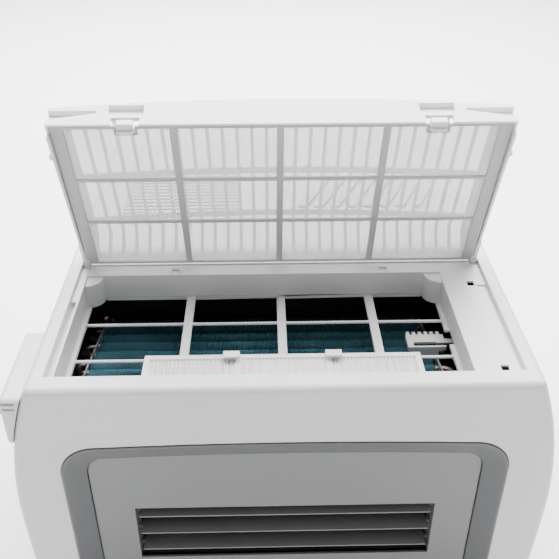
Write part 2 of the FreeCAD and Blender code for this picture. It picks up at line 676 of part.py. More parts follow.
def make_sensor_clip():
    """Comb-shaped clip pressed into the coil, with a rounded neck for the sensor lead."""
    x0, x1 = 128.0, 167.0
    y0, y1 = FRONT_Y + 108.0, FRONT_Y + 134.0
    z0 = TOP_Z - 47.0
    body = box(x0, x1, y0, y1 - 5, z0, z0 + 5)
    pieces = [body]
    for index in range(6):
        pieces.append(box(x0 + 1 + index * 6.2, x0 + 4.6 + index * 6.2, y1 - 6, y1, z0, z0 + 5))
    foot = box(x0 + 2, x0 + 32, y0, y0 + 3, z0 - 6, z0 + 1)
    pieces.append(foot)
    pieces.append(box(x1 - 1, x1 + 12, y0 + 8, y0 + 15, z0, z0 + 4))
    clip = fuse(pieces)
    groove = rod(x0 + 6, y0 + 4.5, z0 + 5.4, 2.2, 60, X_AXIS)
    return clip.cut(groove)


def make_temperature_sensor():
    """Bulb lying in the clip and its lead, which drops beside the coil."""
    y, z = FRONT_Y + 112.5, TOP_Z - 41.6
    bulb = rod(134.5, y, z, 2.1, 22, X_AXIS)
    lead = pipe([(156, y, z), (176, y, z), (176, y + 6, z - 50)], 1.2, 5.0)
    return fuse([bulb, lead])


def make_drip_tray():
    floor_z = TOP_Z - 114.0
    y0, y1 = FRONT_Y + 184.0, FRONT_Y + 228.0
    outer = box(-200, 180, y0, y1, floor_z, floor_z + 16)
    trough = outer.cut(box(-198, 178, y0 + 2, y1 - 2, floor_z + 2, floor_z + 20))
    relief = box(-201, 181, y0 - 1, y0 + 20, floor_z + 7, floor_z + 20)
    spout_y = y1 - 8
    spout = tube(150, spout_y, floor_z - 30, 6, 4.5, 31, Z_AXIS)
    trough = trough.cut(relief)
    return fuse([trough, spout]).cut(rod(150, spout_y, floor_z - 1, 4.5, 5, Z_AXIS))


# ---------- blower and outlet ----------

def make_blower_scroll():
    def at(d, z):
        return (FRONT_Y + d, TOP_Z - z)

    def arc_sheet(points_in, points_out):
        a, b, c = [V(-DUCT_HALF, *at(*p)) for p in points_in[:3]]
        d = V(-DUCT_HALF, *at(*points_in[3]))
        e, f, g = [V(-DUCT_HALF, *at(*p)) for p in points_out[:3]]
        h = V(-DUCT_HALF, *at(*points_out[3]))
        edges = [Part.Arc(a, b, c), Part.LineSegment(c, d), Part.LineSegment(d, h), Part.LineSegment(h, g)]
        edges += [Part.Arc(g, f, e), Part.LineSegment(e, a)]
        face = Part.Face(Part.Wire([edge.toShape() for edge in edges]))
        return face.extrude(V(2 * DUCT_HALF, 0, 0))

    back = arc_sheet([(208, 122), (184, 208), (115, 240), (18, 240)],
                     [(211, 123), (187, 210), (115, 243), (18, 243)])
    tongue = polygon_x([at(18, 162), at(58, 162), at(60, 150), at(63, 150), at(61, 165), at(18, 165)],
                       -DUCT_HALF, DUCT_HALF)
    cheek = [at(18, 243), at(115, 243), at(187, 210), at(211, 122), at(60, 122), at(60, 160), at(18, 160)]
    walls = [polygon_x(cheek, -DUCT_HALF - 3, -DUCT_HALF), polygon_x(cheek, DUCT_HALF, DUCT_HALF + 3)]
    scroll = fuse([back, tongue] + walls)
    cuts = [rod(-DUCT_HALF - 4, BLOWER_Y, BLOWER_Z, SHAFT_R + RUN_CLEAR, 6, X_AXIS)]
    cuts.append(rod(DUCT_HALF - 1, BLOWER_Y, BLOWER_Z, 9.0, 6, X_AXIS))
    for x in vane_places():
        cuts.append(rod(x, VANE_Y, DUCT_HIGH - 1, 1.5 + RUN_CLEAR, 6, Z_AXIS))
        cuts.append(rod(x, VANE_Y, DUCT_LOW - 5, 1.5 + RUN_CLEAR, 6, Z_AXIS))
    return scroll.cut(group(cuts))


def make_blower_wheel():
    discs = []
    for x in (-BLOWER_HALF, -BLOWER_HALF / 2, 0.0, BLOWER_HALF / 2, BLOWER_HALF - 2):
        disc = rod(x, BLOWER_Y, BLOWER_Z, BLOWER_R, 2, X_AXIS)
        if abs(x) < BLOWER_HALF - 3:
            disc = disc.cut(rod(x - 1, BLOWER_Y, BLOWER_Z, BLOWER_R - 13, 4, X_AXIS))
        discs.append(disc)
    inner_r, outer_r = BLOWER_R - 11, BLOWER_R - 0.5
    blade = polygon_x([(inner_r, -0.8), ((inner_r + outer_r) / 2, 1.6), (outer_r, 5.0), (outer_r, 6.4),
                       ((inner_r + outer_r) / 2, 3.0), (inner_r, 0.6)], -BLOWER_HALF, BLOWER_HALF)
    blade = moved(blade, y=BLOWER_Y, z=BLOWER_Z)
    centre = V(0, BLOWER_Y, BLOWER_Z)
    step = 360.0 / BLOWER_BLADES
    blades = [turned(blade, centre, X_AXIS, step * index) for index in range(BLOWER_BLADES)]
    shafts = [rod(-DUCT_HALF - 3, BLOWER_Y, BLOWER_Z, SHAFT_R, 30, X_AXIS)]
    shafts.append(rod(BLOWER_HALF - 6, BLOWER_Y, BLOWER_Z, SHAFT_R, 58, X_AXIS))
    return fuse(discs + blades + shafts)


def make_blower_motor():
    can = rod(174, BLOWER_Y, BLOWER_Z, 36, 40, X_AXIS)
    can = fillet_where(can, 5.0, lambda edge: edge.BoundBox.XMin > 213)
    boss = rod(170, BLOWER_Y, BLOWER_Z, 12, 5, X_AXIS)
    flange = box(174, 177, BLOWER_Y - 48, BLOWER_Y + 48, BLOWER_Z - 12, BLOWER_Z + 12)
    legs = [rod(DUCT_HALF + 3, BLOWER_Y + side * 42, BLOWER_Z, 4, 14, X_AXIS) for side in (-1, 1)]
    motor = fuse([can, boss, flange] + legs)
    return motor.cut(rod(169, BLOWER_Y, BLOWER_Z, SHAFT_R + RUN_CLEAR, 36, X_AXIS))


def vane_places():
    return [(index - (VANE_COUNT - 1) / 2) * VANE_PITCH for index in range(VANE_COUNT)]


def make_vane(x):
    half = VANE_CHORD / 2
    plate = box(x - 1, x + 1, VANE_Y - half, VANE_Y + half, DUCT_LOW + 8, DUCT_HIGH - 3)
    plate = fillet_where(plate, 0.9, lambda edge: edge.BoundBox.ZLength > 20)
    top = rod(x, VANE_Y, DUCT_HIGH - 4, 1.5, 5.5, Z_AXIS)
    hub = rod(x, VANE_Y, DUCT_LOW + 0.5, 2.4, 8, Z_AXIS)
    bottom = rod(x, VANE_Y, DUCT_LOW - 2, 1.5, 4, Z_AXIS)
    crank = rod(x, VANE_Y + VANE_CRANK, DUCT_LOW + 3, 1.5, 6, Z_AXIS)
    return fuse([plate, top, hub, bottom, crank])


def make_vane_link():
    places = vane_places()
    y = VANE_Y + VANE_CRANK
    bar = box(places[0] - 5, places[-1] + 5, y - 3, y + 3, DUCT_LOW + 4, DUCT_LOW + 6.5)
    bar = fillet_where(bar, 2.5, lambda edge: edge.BoundBox.ZLength > 2 and edge.BoundBox.YLength < 0.1)
    holes = [rod(x, y, DUCT_LOW + 3, 1.6, 5, Z_AXIS) for x in places]
    return bar.cut(group(holes))


def louver_places():
    middle = (DUCT_LOW + DUCT_HIGH) / 2
    return [middle + ((LOUVER_COUNT - 1) / 2 - index) * LOUVER_PITCH for index in range(LOUVER_COUNT)]


def make_louver(z):
    """Aerofoil blade across the outlet, with a round pin at each end."""
    half = LOUVER_CHORD / 2
    near, far = LOUVER_Y - half, LOUVER_Y + half
    tip = 0.8
    outline = [V(-OUTLET_HALF + 3, near, z - tip), V(-OUTLET_HALF + 3, LOUVER_Y, z - 1.6)]
    outline += [V(-OUTLET_HALF + 3, far, z - tip), V(-OUTLET_HALF + 3, far, z + tip)]
    outline += [V(-OUTLET_HALF + 3, LOUVER_Y, z + 2.6), V(-OUTLET_HALF + 3, near, z + tip)]
    lower = Part.Arc(outline[0], outline[1], outline[2]).toShape()
    back = Part.LineSegment(outline[2], outline[3]).toShape()
    upper = Part.Arc(outline[3], outline[4], outline[5]).toShape()
    front = Part.LineSegment(outline[5], outline[0]).toShape()
    blade = Part.Face(Part.Wire([lower, back, upper, front])).extrude(V(2 * OUTLET_HALF - 6, 0, 0))
    pins = rod(-OUTLET_HALF - 3, LOUVER_Y, z, 1.8, 2 * OUTLET_HALF + 6, X_AXIS)
    return fuse([blade, pins])


def make_front_surround():
    """Gray dish around the panel: its face slopes in from the housing to the panel."""
    outer = rounded_slab(SURROUND_HALF, SURROUND_LOW, SURROUND_TOP, SURROUND_CORNER, ARCH,
                         FRONT_Y - 0.8, FRONT_Y + SURROUND_DEPTH)
    hole = rounded_slab(PANEL_HALF + GAP, PANEL_LOW - GAP, PANEL_TOP + GAP, PANEL_CORNER, ARCH,
                        FRONT_Y - 5, FRONT_Y + SURROUND_DEPTH + 1)
    lip = 2.5
    wide = rounded_outline(SURROUND_HALF - lip, SURROUND_LOW + lip, SURROUND_TOP - lip,
                           SURROUND_CORNER - lip, ARCH, FRONT_Y - 0.81)
    narrow = rounded_outline(PANEL_HALF + GAP, PANEL_LOW - GAP, PANEL_TOP + GAP, PANEL_CORNER, ARCH,
                             FRONT_Y + 9.0)
    dish = Part.makeLoft([wide, narrow], True, True)
    return outer.cut(hole).cut(dish)


def make_front_panel():
    slab = rounded_slab(PANEL_HALF, PANEL_LOW, PANEL_TOP, PANEL_CORNER, ARCH, PANEL_Y, PANEL_Y + PANEL_T)
    cuts = [box(-OUTLET_HALF, OUTLET_HALF, PANEL_Y - 1, PANEL_Y + 5, DUCT_LOW, DUCT_HIGH)]
    cuts.append(box(-45, 45, PANEL_Y - 1, PANEL_Y + 5, CONTROL_Z - 11, CONTROL_Z + 11))
    for x in BUTTON_X:
        cuts.append(rod(x, PANEL_Y - 1, CONTROL_Z, BUTTON_R + 0.4, 6, Y_AXIS))
    panel = slab.cut(group(cuts))
    ears = []
    for x0 in (-OUTLET_HALF - 4, OUTLET_HALF):
        ears.append(box(x0, x0 + 4, PANEL_Y + PANEL_T - 1, FRONT_Y + 34, DUCT_LOW, DUCT_HIGH))
    panel = fuse([panel] + ears)
    bores = [rod(-OUTLET_HALF - 5, LOUVER_Y, z, 1.8 + RUN_CLEAR, 2 * OUTLET_HALF + 10, X_AXIS)
             for z in louver_places()]
    return panel.cut(group(bores))


def make_display_window():
    plate = box(-44.7, 44.7, PANEL_Y - 0.5, PANEL_Y + 2.5, CONTROL_Z - 10.7, CONTROL_Z + 10.7)
    plate = fillet_where(plate, 2.0, lambda edge: edge.BoundBox.YLength > 2)
    low, high = CONTROL_Z - 4, CONTROL_Z + 4
    tongues = [box(x - 4, x + 4, PANEL_Y + 2, PANEL_Y + 8.5, low, high) for x in (-38, 38)]
    return fuse([plate] + tongues)


def make_button(x):
    face_y = PANEL_Y - BUTTON_PROUD
    cap = rod(x, face_y, CONTROL_Z, BUTTON_R, BUTTON_PROUD + PANEL_T + 0.8, Y_AXIS)
    cap = fillet_where(cap, 0.8, lambda edge: edge.BoundBox.YMax < face_y + 0.01)
    dish = Part.makeSphere(40, V(x, face_y - 39.4, CONTROL_Z))
    flange = rod(x, PANEL_Y + PANEL_T + 0.4, CONTROL_Z, BUTTON_R + 2, 1.5, Y_AXIS)
    stem = rod(x, PANEL_Y + PANEL_T + 1.5, CONTROL_Z, 2.5, 4.1, Y_AXIS)
    return fuse([cap.cut(dish), flange, stem])


def make_control_board():
    """Circuit board behind the buttons, with a switch under each stem and four supports."""
    board_y = PANEL_Y + 11.5
    board = box(-150, 150, board_y, board_y + 1.6, CONTROL_Z - 16, CONTROL_Z + 16)
    parts = [board]
    for x in BUTTON_X:
        parts.append(box(x - 3, x + 3, board_y - 1.0, board_y + 0.5, CONTROL_Z - 3, CONTROL_Z + 3))
    parts.append(box(-30, 30, board_y + 1, board_y + 9, CONTROL_Z - 10, CONTROL_Z + 8))
    for x in (-146, -58, 58, 146):
        back_y = PANEL_Y + PANEL_T
        parts.append(rod(x, back_y, CONTROL_Z + 12, 2.5, board_y - back_y + 0.5, Y_AXIS))
    return fuse(parts)


def make_control_box():
    outer = box(170, 232, FRONT_Y + 44, FRONT_Y + 196, 34, 124)
    inner = box(171.5, 230.5, FRONT_Y + 45.5, FRONT_Y + 194.5, 35.5, 130)
    legs = [box(178, 190, FRONT_Y + y, FRONT_Y + y + 12, SHEET, 34.5) for y in (60, 170)]
    return fuse([outer.cut(inner)] + legs)


def make_run_capacitor():
    can = rod(205, FRONT_Y + 90, 35.5, 20, 66, Z_AXIS)
    can = fillet_where(can, 2.0, lambda edge: edge.BoundBox.ZMin > 101)
    blades = [box(205 + dx - 3, 205 + dx + 3, FRONT_Y + 89.6, FRONT_Y + 90.4, 101, 110) for dx in (-9, 9)]
    return fuse([can] + blades)


# ---------- pod on the left side ----------

def make_side_cover():
    y0, y1 = FRONT_Y + 1.0, FRONT_Y + 72.0
    low, high = TOP_Z - 66.0, TOP_Z - 12.0
    pod = box(-255, -222, y0, y1, low, high)
    pod = fillet_where(pod, 6.0, lambda edge: edge.BoundBox.XMax < -254 or edge.BoundBox.YMax < y0 + 0.01)
    tab = box(-254, -222, y1 - 2, FRONT_Y + 106, TOP_Z - 34, TOP_Z - 14)
    far_y = FRONT_Y + 105
    tab = fillet_where(tab, 4.0, lambda edge: edge.BoundBox.YMin > far_y and edge.BoundBox.XLength > 5)
    cover = fuse([pod, tab]).cut(case_block(-0.3, CASE_LOW_Z, TOP_Z, FRONT_Y - 5, SPLIT_Y))
    cuts = []
    for z in (TOP_Z - 17.5, TOP_Z - 23.0):
        cuts.append(box(-252, -240, y0 - 1, y0 + 3, z, z + 2.2))
    cuts.append(rod(-262, FRONT_Y + 12, TOP_Z - 31, 2.05, 30, X_AXIS))
    return cover.cut(group(cuts))


def make_cord_bush():
    ring = rod(243, FRONT_Y + 205, 46, 6.9, 14, X_AXIS)
    flange = rod(253.9, FRONT_Y + 205, 46, 10, 3, X_AXIS)
    flange = fillet_where(flange, 1.5, lambda edge: edge.BoundBox.XMin > 256)
    hollow = rod(242, FRONT_Y + 205, 46, 4.0, 20, X_AXIS)
    skin = case_block(0.0, CASE_LOW_Z, TOP_Z, FRONT_Y, SPLIT_Y)
    wall_only = skin.cut(rod(230, FRONT_Y + 205, 46, 7.0, 40, X_AXIS))
    return fuse([ring, flange]).cut(hollow).cut(wall_only)


# ---------- outdoor half ----------

def top_slots():
    """Fine slots on the left of the cabinet's top and slanted louver slots on the right."""
    cuts = []
    for index in range(15):
        y = 30.0 + index * 9.0
        cuts.append(box(-190, -50, y, y + 3.4, TOP_Z - 5, TOP_Z + 1))
    for index in range(8):
        slot = box(-5.0, 5.0, -46, 46, TOP_Z - 5, TOP_Z + 1)
        slot = turned(slot, V(0, 0, 0), Z_AXIS, -24)
        cuts.append(moved(slot, x=46 + index * 20.0, y=100))
    return cuts


def louver_hoods():
    """Raised hoods over the slanted slots, open on one side."""
    hoods = []
    for index in range(8):
        outline = [V(-6, -44, 0), V(7, -44, 0), V(7, -44, 5), V(-6, -44, 0.8)]
        shape = Part.Face(Part.makePolygon(outline + outline[:1])).extrude(V(0, 88, 0))
        hollow_line = [V(-3, -43, -1), V(8, -43, -1), V(8, -43, 3.8), V(-3, -43, 0.2)]
        hollow = Part.Face(Part.makePolygon(hollow_line + hollow_line[:1])).extrude(V(0, 86, 0))
        hood = turned(shape.cut(hollow), V(0, 0, 0), Z_AXIS, -24)
        hoods.append(moved(hood, x=46 + index * 20.0, y=100, z=TOP_Z - 0.5))
    return hoods


def side_slots():
    cuts = []
    for sign in (-1, 1):
        for index in range(14):
            y = 40.0 + index * 10.0
            low = 110.0
            x = sign * 262
            cuts.append(box(min(x, x - sign * 30), max(x, x - sign * 30), y, y + 4, low, low + 150))
    return cuts


def make_rear_cabinet():
    y0 = SPLIT_Y + GAP
    outer = case_block(0, CASE_LOW_Z, TOP_Z, y0, REAR_Y + 1).common(rear_plan(0, 0, TOP_Z + 1))

    def soft_edge(edge):
        bounds = edge.BoundBox
        return bounds.ZMin > TOP_Z - 0.01 and bounds.YMax > y0 + 1

    outer = fillet_where(outer, EDGE_R, soft_edge)
    inner = case_block(SHEET, CASE_LOW_Z - 1, TOP_Z - SHEET, y0 - 1, REAR_Y + 1)
    inner = inner.common(rear_plan(SHEET, 0, TOP_Z - SHEET))
    shell = outer.cut(inner)
    cuts = top_slots() + side_slots()
    cuts.append(box(-158, 158, REAR_Y - 10, REAR_Y + 10, 40, 322))
    cuts.append(rod(120, REAR_Y - 10, 15, 9.0, 20, Y_AXIS))
    for x in (-RAIL_SCREW_X, RAIL_SCREW_X):
        cuts.append(rod(x, RAIL_SCREW_Y, TOP_Z - 10, RAIL_HOLE_R, 20, Z_AXIS))
    for sign, y, z in screw_places():
        cuts.append(rod(min(sign * 225, sign * 265), y, z, 2.05, 40, X_AXIS))
    shell = shell.cut(group(cuts))
    return fuse([shell] + louver_hoods())


def make_rear_guard():
    """Wire-like grille over the condenser, hooked into the cabinet's rear window."""
    y0 = REAR_Y - 4.5
    outer = box(-157.6, 157.6, y0, y0 + 4, 40.4, 321.6)
    inner = box(-151.6, 151.6, y0 - 1, y0 + 5, 46.4, 315.6)
    bars = [outer.cut(inner)]
    for index in range(1, 19):
        z = 46.4 + index * 269.2 / 19
        bars.append(box(-153, 153, y0, y0 + 2, z - 1, z + 1))
    for x in (-76, 0, 76):
        bars.append(box(x - 2.5, x + 2.5, y0 + 1, y0 + 4, 44, 318))
    return fuse(bars)


def make_base_pan():
    outer = box(-PAN_HALF, PAN_HALF, PAN_NEAR, PAN_FAR, 0, PAN_RIM)
    corners = lambda edge: edge.BoundBox.ZLength > 20 and edge.BoundBox.YMin > 0
    outer = fillet_where(outer, 70.0, corners)
    inner = box(-PAN_HALF + SHEET, PAN_HALF - SHEET, PAN_NEAR + SHEET, PAN_FAR - SHEET, SHEET, PAN_RIM + 1)
    inner = fillet_where(inner, 68.0, corners)
    pan = outer.cut(inner)
    studs = [rod(x, y, 1, 3.9, 25, Z_AXIS) for x, y in grommet_places()]
    rails = [box(-200, 200, y, y + 8, 1, 5) for y in (-160.0, -60.0)]
    pan = fuse([pan] + studs + rails)
    cuts = [rod(sx * BOLT_X, y, -1, BOLT_R, 5, Z_AXIS) for sx in (-1, 1) for y in BOLT_Y]
    cuts.append(rod(120, PAN_FAR - 6, 15, 8.0, 10, Y_AXIS))
    for sign, y, z in screw_places():
        cuts.append(rod(min(sign * 225, sign * 265), y, z, 2.05, 40, X_AXIS))
    return pan.cut(group(cuts))


def make_cabinet_screws():
    screws = []
    for sign, y, z in screw_places():
        face = side_x(z + 4.5)
        shank = rod(min(sign * 232, sign * (face + 1)), y, z, 2.0, face + 1 - 232, X_AXIS)
        head = rod(min(sign * (face + 0.3), sign * (face + 2.6)), y, z, 4.5, 2.3, X_AXIS)
        screws.append(fuse([shank, head]))
    pod_y, pod_z = FRONT_Y + 12, TOP_Z - 31
    shank = rod(-254, pod_y, pod_z, 2.0, 16, X_AXIS)
    head = rod(-257.6, pod_y, pod_z, 4.0, 2.4, X_AXIS)
    neck = rod(-255.3, pod_y, pod_z, 2.0, 2.0, X_AXIS)
    screws.append(fuse([shank, head, neck]))
    return group(screws)


def make_bulkhead():
    """Insulated wall between the room side and the outdoor side."""
    y0 = SPLIT_Y + 8.0
    wall = case_block(SHEET + 0.4, PAN_RIM + 1, TOP_Z - SHEET - 0.4, y0, y0 + 8)
    foot = box(-PAN_HALF + SHEET + 0.4, PAN_HALF - SHEET - 0.4, y0, y0 + 8, SHEET, PAN_RIM + 2)
    wall = fuse([wall, foot])
    holes = [rod(x, y0 - 1, z, r, 10, Y_AXIS) for x, z, r in line_holes()]
    return wall.cut(group(holes))


def line_holes():
    """Where the refrigerant lines pass the bulkhead: x, z, radius."""
    return [(-208.0, 240.0, 7.0), (-222.0, 215.0, 4.0)]


def grommet_places():
    places = []
    for degrees in (90, 210, 330):
        angle = math.radians(degrees)
        places.append((COMP_X + FOOT_R * math.cos(angle), COMP_Y + FOOT_R * math.sin(angle)))
    return places


def make_compressor():
    low = 30.0
    shell = rod(COMP_X, COMP_Y, low, COMP_R, COMP_TOP - low, Z_AXIS)
    shell = fillet_where(shell, 30.0, lambda edge: edge.BoundBox.ZMin > COMP_TOP - 1)
    shell = fillet_where(shell, 14.0, lambda edge: edge.BoundBox.ZMax < low + 1)
    seam = tube(COMP_X, COMP_Y, 142, COMP_R + 2.5, COMP_R - 2, 4, Z_AXIS)
    parts = [shell, seam]
    for x, y in grommet_places():
        ear = rod(x, y, 20, 14, 3, Z_AXIS)
        arm = box(-12, 12, 0, FOOT_R, 20, 23)
        angle = math.degrees(math.atan2(y - COMP_Y, x - COMP_X)) - 90
        arm = moved(turned(arm, V(0, 0, 0), Z_AXIS, angle), x=COMP_X, y=COMP_Y)
        parts += [ear, arm]
    parts.append(rod(COMP_X, COMP_Y, 20, 40, 11, Z_AXIS))
    parts.append(box(COMP_X - 14, COMP_X + 14, COMP_Y - 64, COMP_Y - 50, 110, 150))
    parts.append(rod(COMP_X + 25, COMP_Y, COMP_TOP - 14, 5.5, 18, Z_AXIS))
    body = fuse(parts)
    holes = [rod(x, y, 19, 7.5, 5, Z_AXIS) for x, y in grommet_places()]
    holes.append(rod(COMP_X + 25, COMP_Y, COMP_TOP - 6, 4.0 + RUN_CLEAR, 10, Z_AXIS))
    return body.cut(group(holes))


def make_compressor_grommets():
    grommets = []
    for x, y in grommet_places():
        lower = rod(x, y, SHEET, 11, 17.8, Z_AXIS)
        neck = rod(x, y, 19, 7.2, 5, Z_AXIS)
        upper = rod(x, y, 23.3, 10, 2.2, Z_AXIS)
        grommets.append(fuse([lower, neck, upper]).cut(rod(x, y, 0, 3.95, 40, Z_AXIS)))
    return group(grommets)


def make_accumulator():
    can = rod(ACC_X, ACC_Y, ACC_LOW, ACC_R, ACC_HIGH - ACC_LOW, Z_AXIS)
    can = fillet_where(can, 12.0, lambda edge: edge.BoundBox.ZLength < 0.1)
    necks = [rod(ACC_X, ACC_Y, z, 6.5, 10, Z_AXIS) for z in (ACC_HIGH - 4, ACC_LOW - 6)]
    body = fuse([can] + necks)
    bores = [rod(ACC_X, ACC_Y, ACC_HIGH, TUBE_R + RUN_CLEAR, 10, Z_AXIS)]
    bores.append(rod(ACC_X, ACC_Y, ACC_LOW - 10, TUBE_R + RUN_CLEAR, 8, Z_AXIS))
    return body.cut(group(bores))


def make_suction_line():
    """Cold line from the evaporator's left end, through the bulkhead, to the accumulator."""
    evap_y = FRONT_Y + 224.0
    path = [(-208, evap_y, 258), (-208, evap_y, 240), (-208, 60, 240), (-196, 122, 240), (-196, 122, 192)]
    first = pipe(path, TUBE_R, 7.5, TUBE_R - TUBE_WALL)
    low_path = [(-196, 122, 68), (-196, 122, 50), (-196, 96, 50), (-188.8, 88.8, 50)]
    second = pipe(low_path, TUBE_R, 7.5, TUBE_R - TUBE_WALL)
    return group([first, second])


def make_discharge_line():
    """Hot line from the compressor's top to the condenser's upper left tube."""
    x = COMP_X + 25
    path = [(x, COMP_Y, COMP_TOP - 5), (x, COMP_Y, 318), (x, 190, 318)]
    path += [(-196, 206, 318), (-196, 245, 318), (-176, 245, 318)]
    return pipe(path, TUBE_R, 8.0, TUBE_R - TUBE_WALL)


def make_filter_drier():
    can = rod(DRIER_X, DRIER_Y, 120, 10, 60, Z_AXIS)
    can = fillet_where(can, 5.0, lambda edge: edge.BoundBox.ZLength < 0.1)
    return can.cut(rod(DRIER_X, DRIER_Y, 174, 1.6, 10, Z_AXIS))


def make_capillary_tube():
    """Thin coiled tube from the drier to the evaporator."""
    y_end = FRONT_Y + 232.0
    path = [(DRIER_X, DRIER_Y, 175), (DRIER_X, DRIER_Y, 215), (DRIER_X, y_end, 215), (DRIER_X, y_end, 250)]
    return pipe(path, 1.5, 6.0)


def cond_tube_centres():
    first = (COND_Z[0] + COND_Z[1] - (COND_TUBES - 1) * COND_TUBE_PITCH) / 2
    middle = (COND_Y[0] + COND_Y[1]) / 2
    centres = []
    for row in range(2):
        y = middle + (row - 0.5) * COND_ROW_PITCH
        centres += [(y, first + index * COND_TUBE_PITCH) for index in range(COND_TUBES)]
    return centres


def make_condenser():
    plate = box(-COND_X, -COND_X + FIN_T, COND_Y[0], COND_Y[1], COND_Z[0], COND_Z[1])
    centres = cond_tube_centres()
    fins = group(fin_stack(plate, centres, -COND_X, COND_X))
    tubes = coil_tubes(centres, COND_TUBES, -COND_X - 5, COND_X + 5)
    sheets = []
    for x in (-COND_X - 3, COND_X + 1.8):
        sheet = box(x, x + 1.2, COND_Y[0], COND_Y[1], COND_Z[0], COND_Z[1])
        holes = [rod(x - 1, y, z, TUBE_R + RUN_CLEAR, 4, X_AXIS) for y, z in centres]
        sheets.append(sheet.cut(group(holes)))
    return fins, tubes, group(sheets)


def make_fan_shroud():
    plate = box(-172, 172, 226, 229, 30, 330)
    collar = tube(0, 190, FAN_Z, FAN_R + 9, FAN_R + 6, 37, Y_AXIS)
    plate = plate.cut(rod(0, 220, FAN_Z, FAN_R + 6, 20, Y_AXIS))
    rims = [box(-172, 172, 228, 236, 328, 330), box(-172, 172, 228, 236, 30, 32)]
    rims += [box(-172, -170, 228, 236, 30, 330), box(170, 172, 228, 236, 30, 330)]
    feet = [box(x - 10, x + 10, 226, 229, SHEET, 31) for x in (-120, 120)]
    return fuse([plate, collar] + rims + feet)


def make_condenser_fan():
    """Axial fan with twisted blades and an outer ring that slings water onto the coil."""
    centre = V(0, FAN_Y, FAN_Z)
    hub = rod(0, FAN_Y - 14, FAN_Z, 30, 28, Y_AXIS)
    hub = fillet_where(hub, 5.0, lambda edge: edge.BoundBox.YMin > FAN_Y + 13)
    outline = [V(-15, FAN_Y - 1.2, 22), V(15, FAN_Y - 1.2, 22), V(48, FAN_Y - 1.2, FAN_R + 5)]
    outline.append(V(-34, FAN_Y - 1.2, FAN_R + 5))
    blade = Part.Face(Part.makePolygon(outline + outline[:1])).extrude(V(0, 2.4, 0))
    blade = turned(moved(blade, z=FAN_Z), centre, Z_AXIS, 22)
    limit = tube(0, FAN_Y - 30, FAN_Z, FAN_R - 1, 24, 60, Y_AXIS)
    blade = blade.common(limit)
    blades = [turned(blade, centre, Y_AXIS, 360.0 / FAN_BLADES * index) for index in range(FAN_BLADES)]
    ring = tube(0, FAN_Y - 4, FAN_Z, FAN_R, FAN_R - 4, 8, Y_AXIS)
    shaft = rod(0, 122, FAN_Z, 5.0, FAN_Y - 122, Y_AXIS)
    return fuse([hub, ring, shaft] + blades)


def make_fan_motor():
    can = rod(0, 90, FAN_Z, 42, 62, Y_AXIS)
    can = fillet_where(can, 8.0, lambda edge: edge.BoundBox.YLength < 0.1)
    nose = rod(0, 148, FAN_Z, 14, 14, Y_AXIS)
    motor = fuse([can, nose])
    return motor.cut(rod(0, 120, FAN_Z, 5.0 + RUN_CLEAR, 60, Y_AXIS))


def make_motor_bracket():
    ring = tube(0, 108, FAN_Z, 46, 42.05, 26, Y_AXIS)
    legs = []
    for sign in (-1, 1):
        x = sign * 43
        legs.append(box(min(x, x + sign * 3), max(x, x + sign * 3), 108, 134, 5, FAN_Z))
        foot_x = sign * 62
        legs.append(box(min(x, foot_x), max(x, foot_x), 108, 134, SHEET, 5))
    web = box(-43, 43, 119, 122, 40, FAN_Z - 42)
    return fuse([ring, web] + legs)


def make_drain_plug():
    shank = rod(120, PAN_FAR - 6, 15, 7.8, REAR_Y - PAN_FAR + 7.0, Y_AXIS)
    head = rod(120, REAR_Y + 0.6, 15, 12, 3.4, Y_AXIS)
    head = fillet_where(head, 1.5, lambda edge: edge.BoundBox.YMin > REAR_Y + 3)
    return fuse([shank, head])


# ---------- assembly ----------

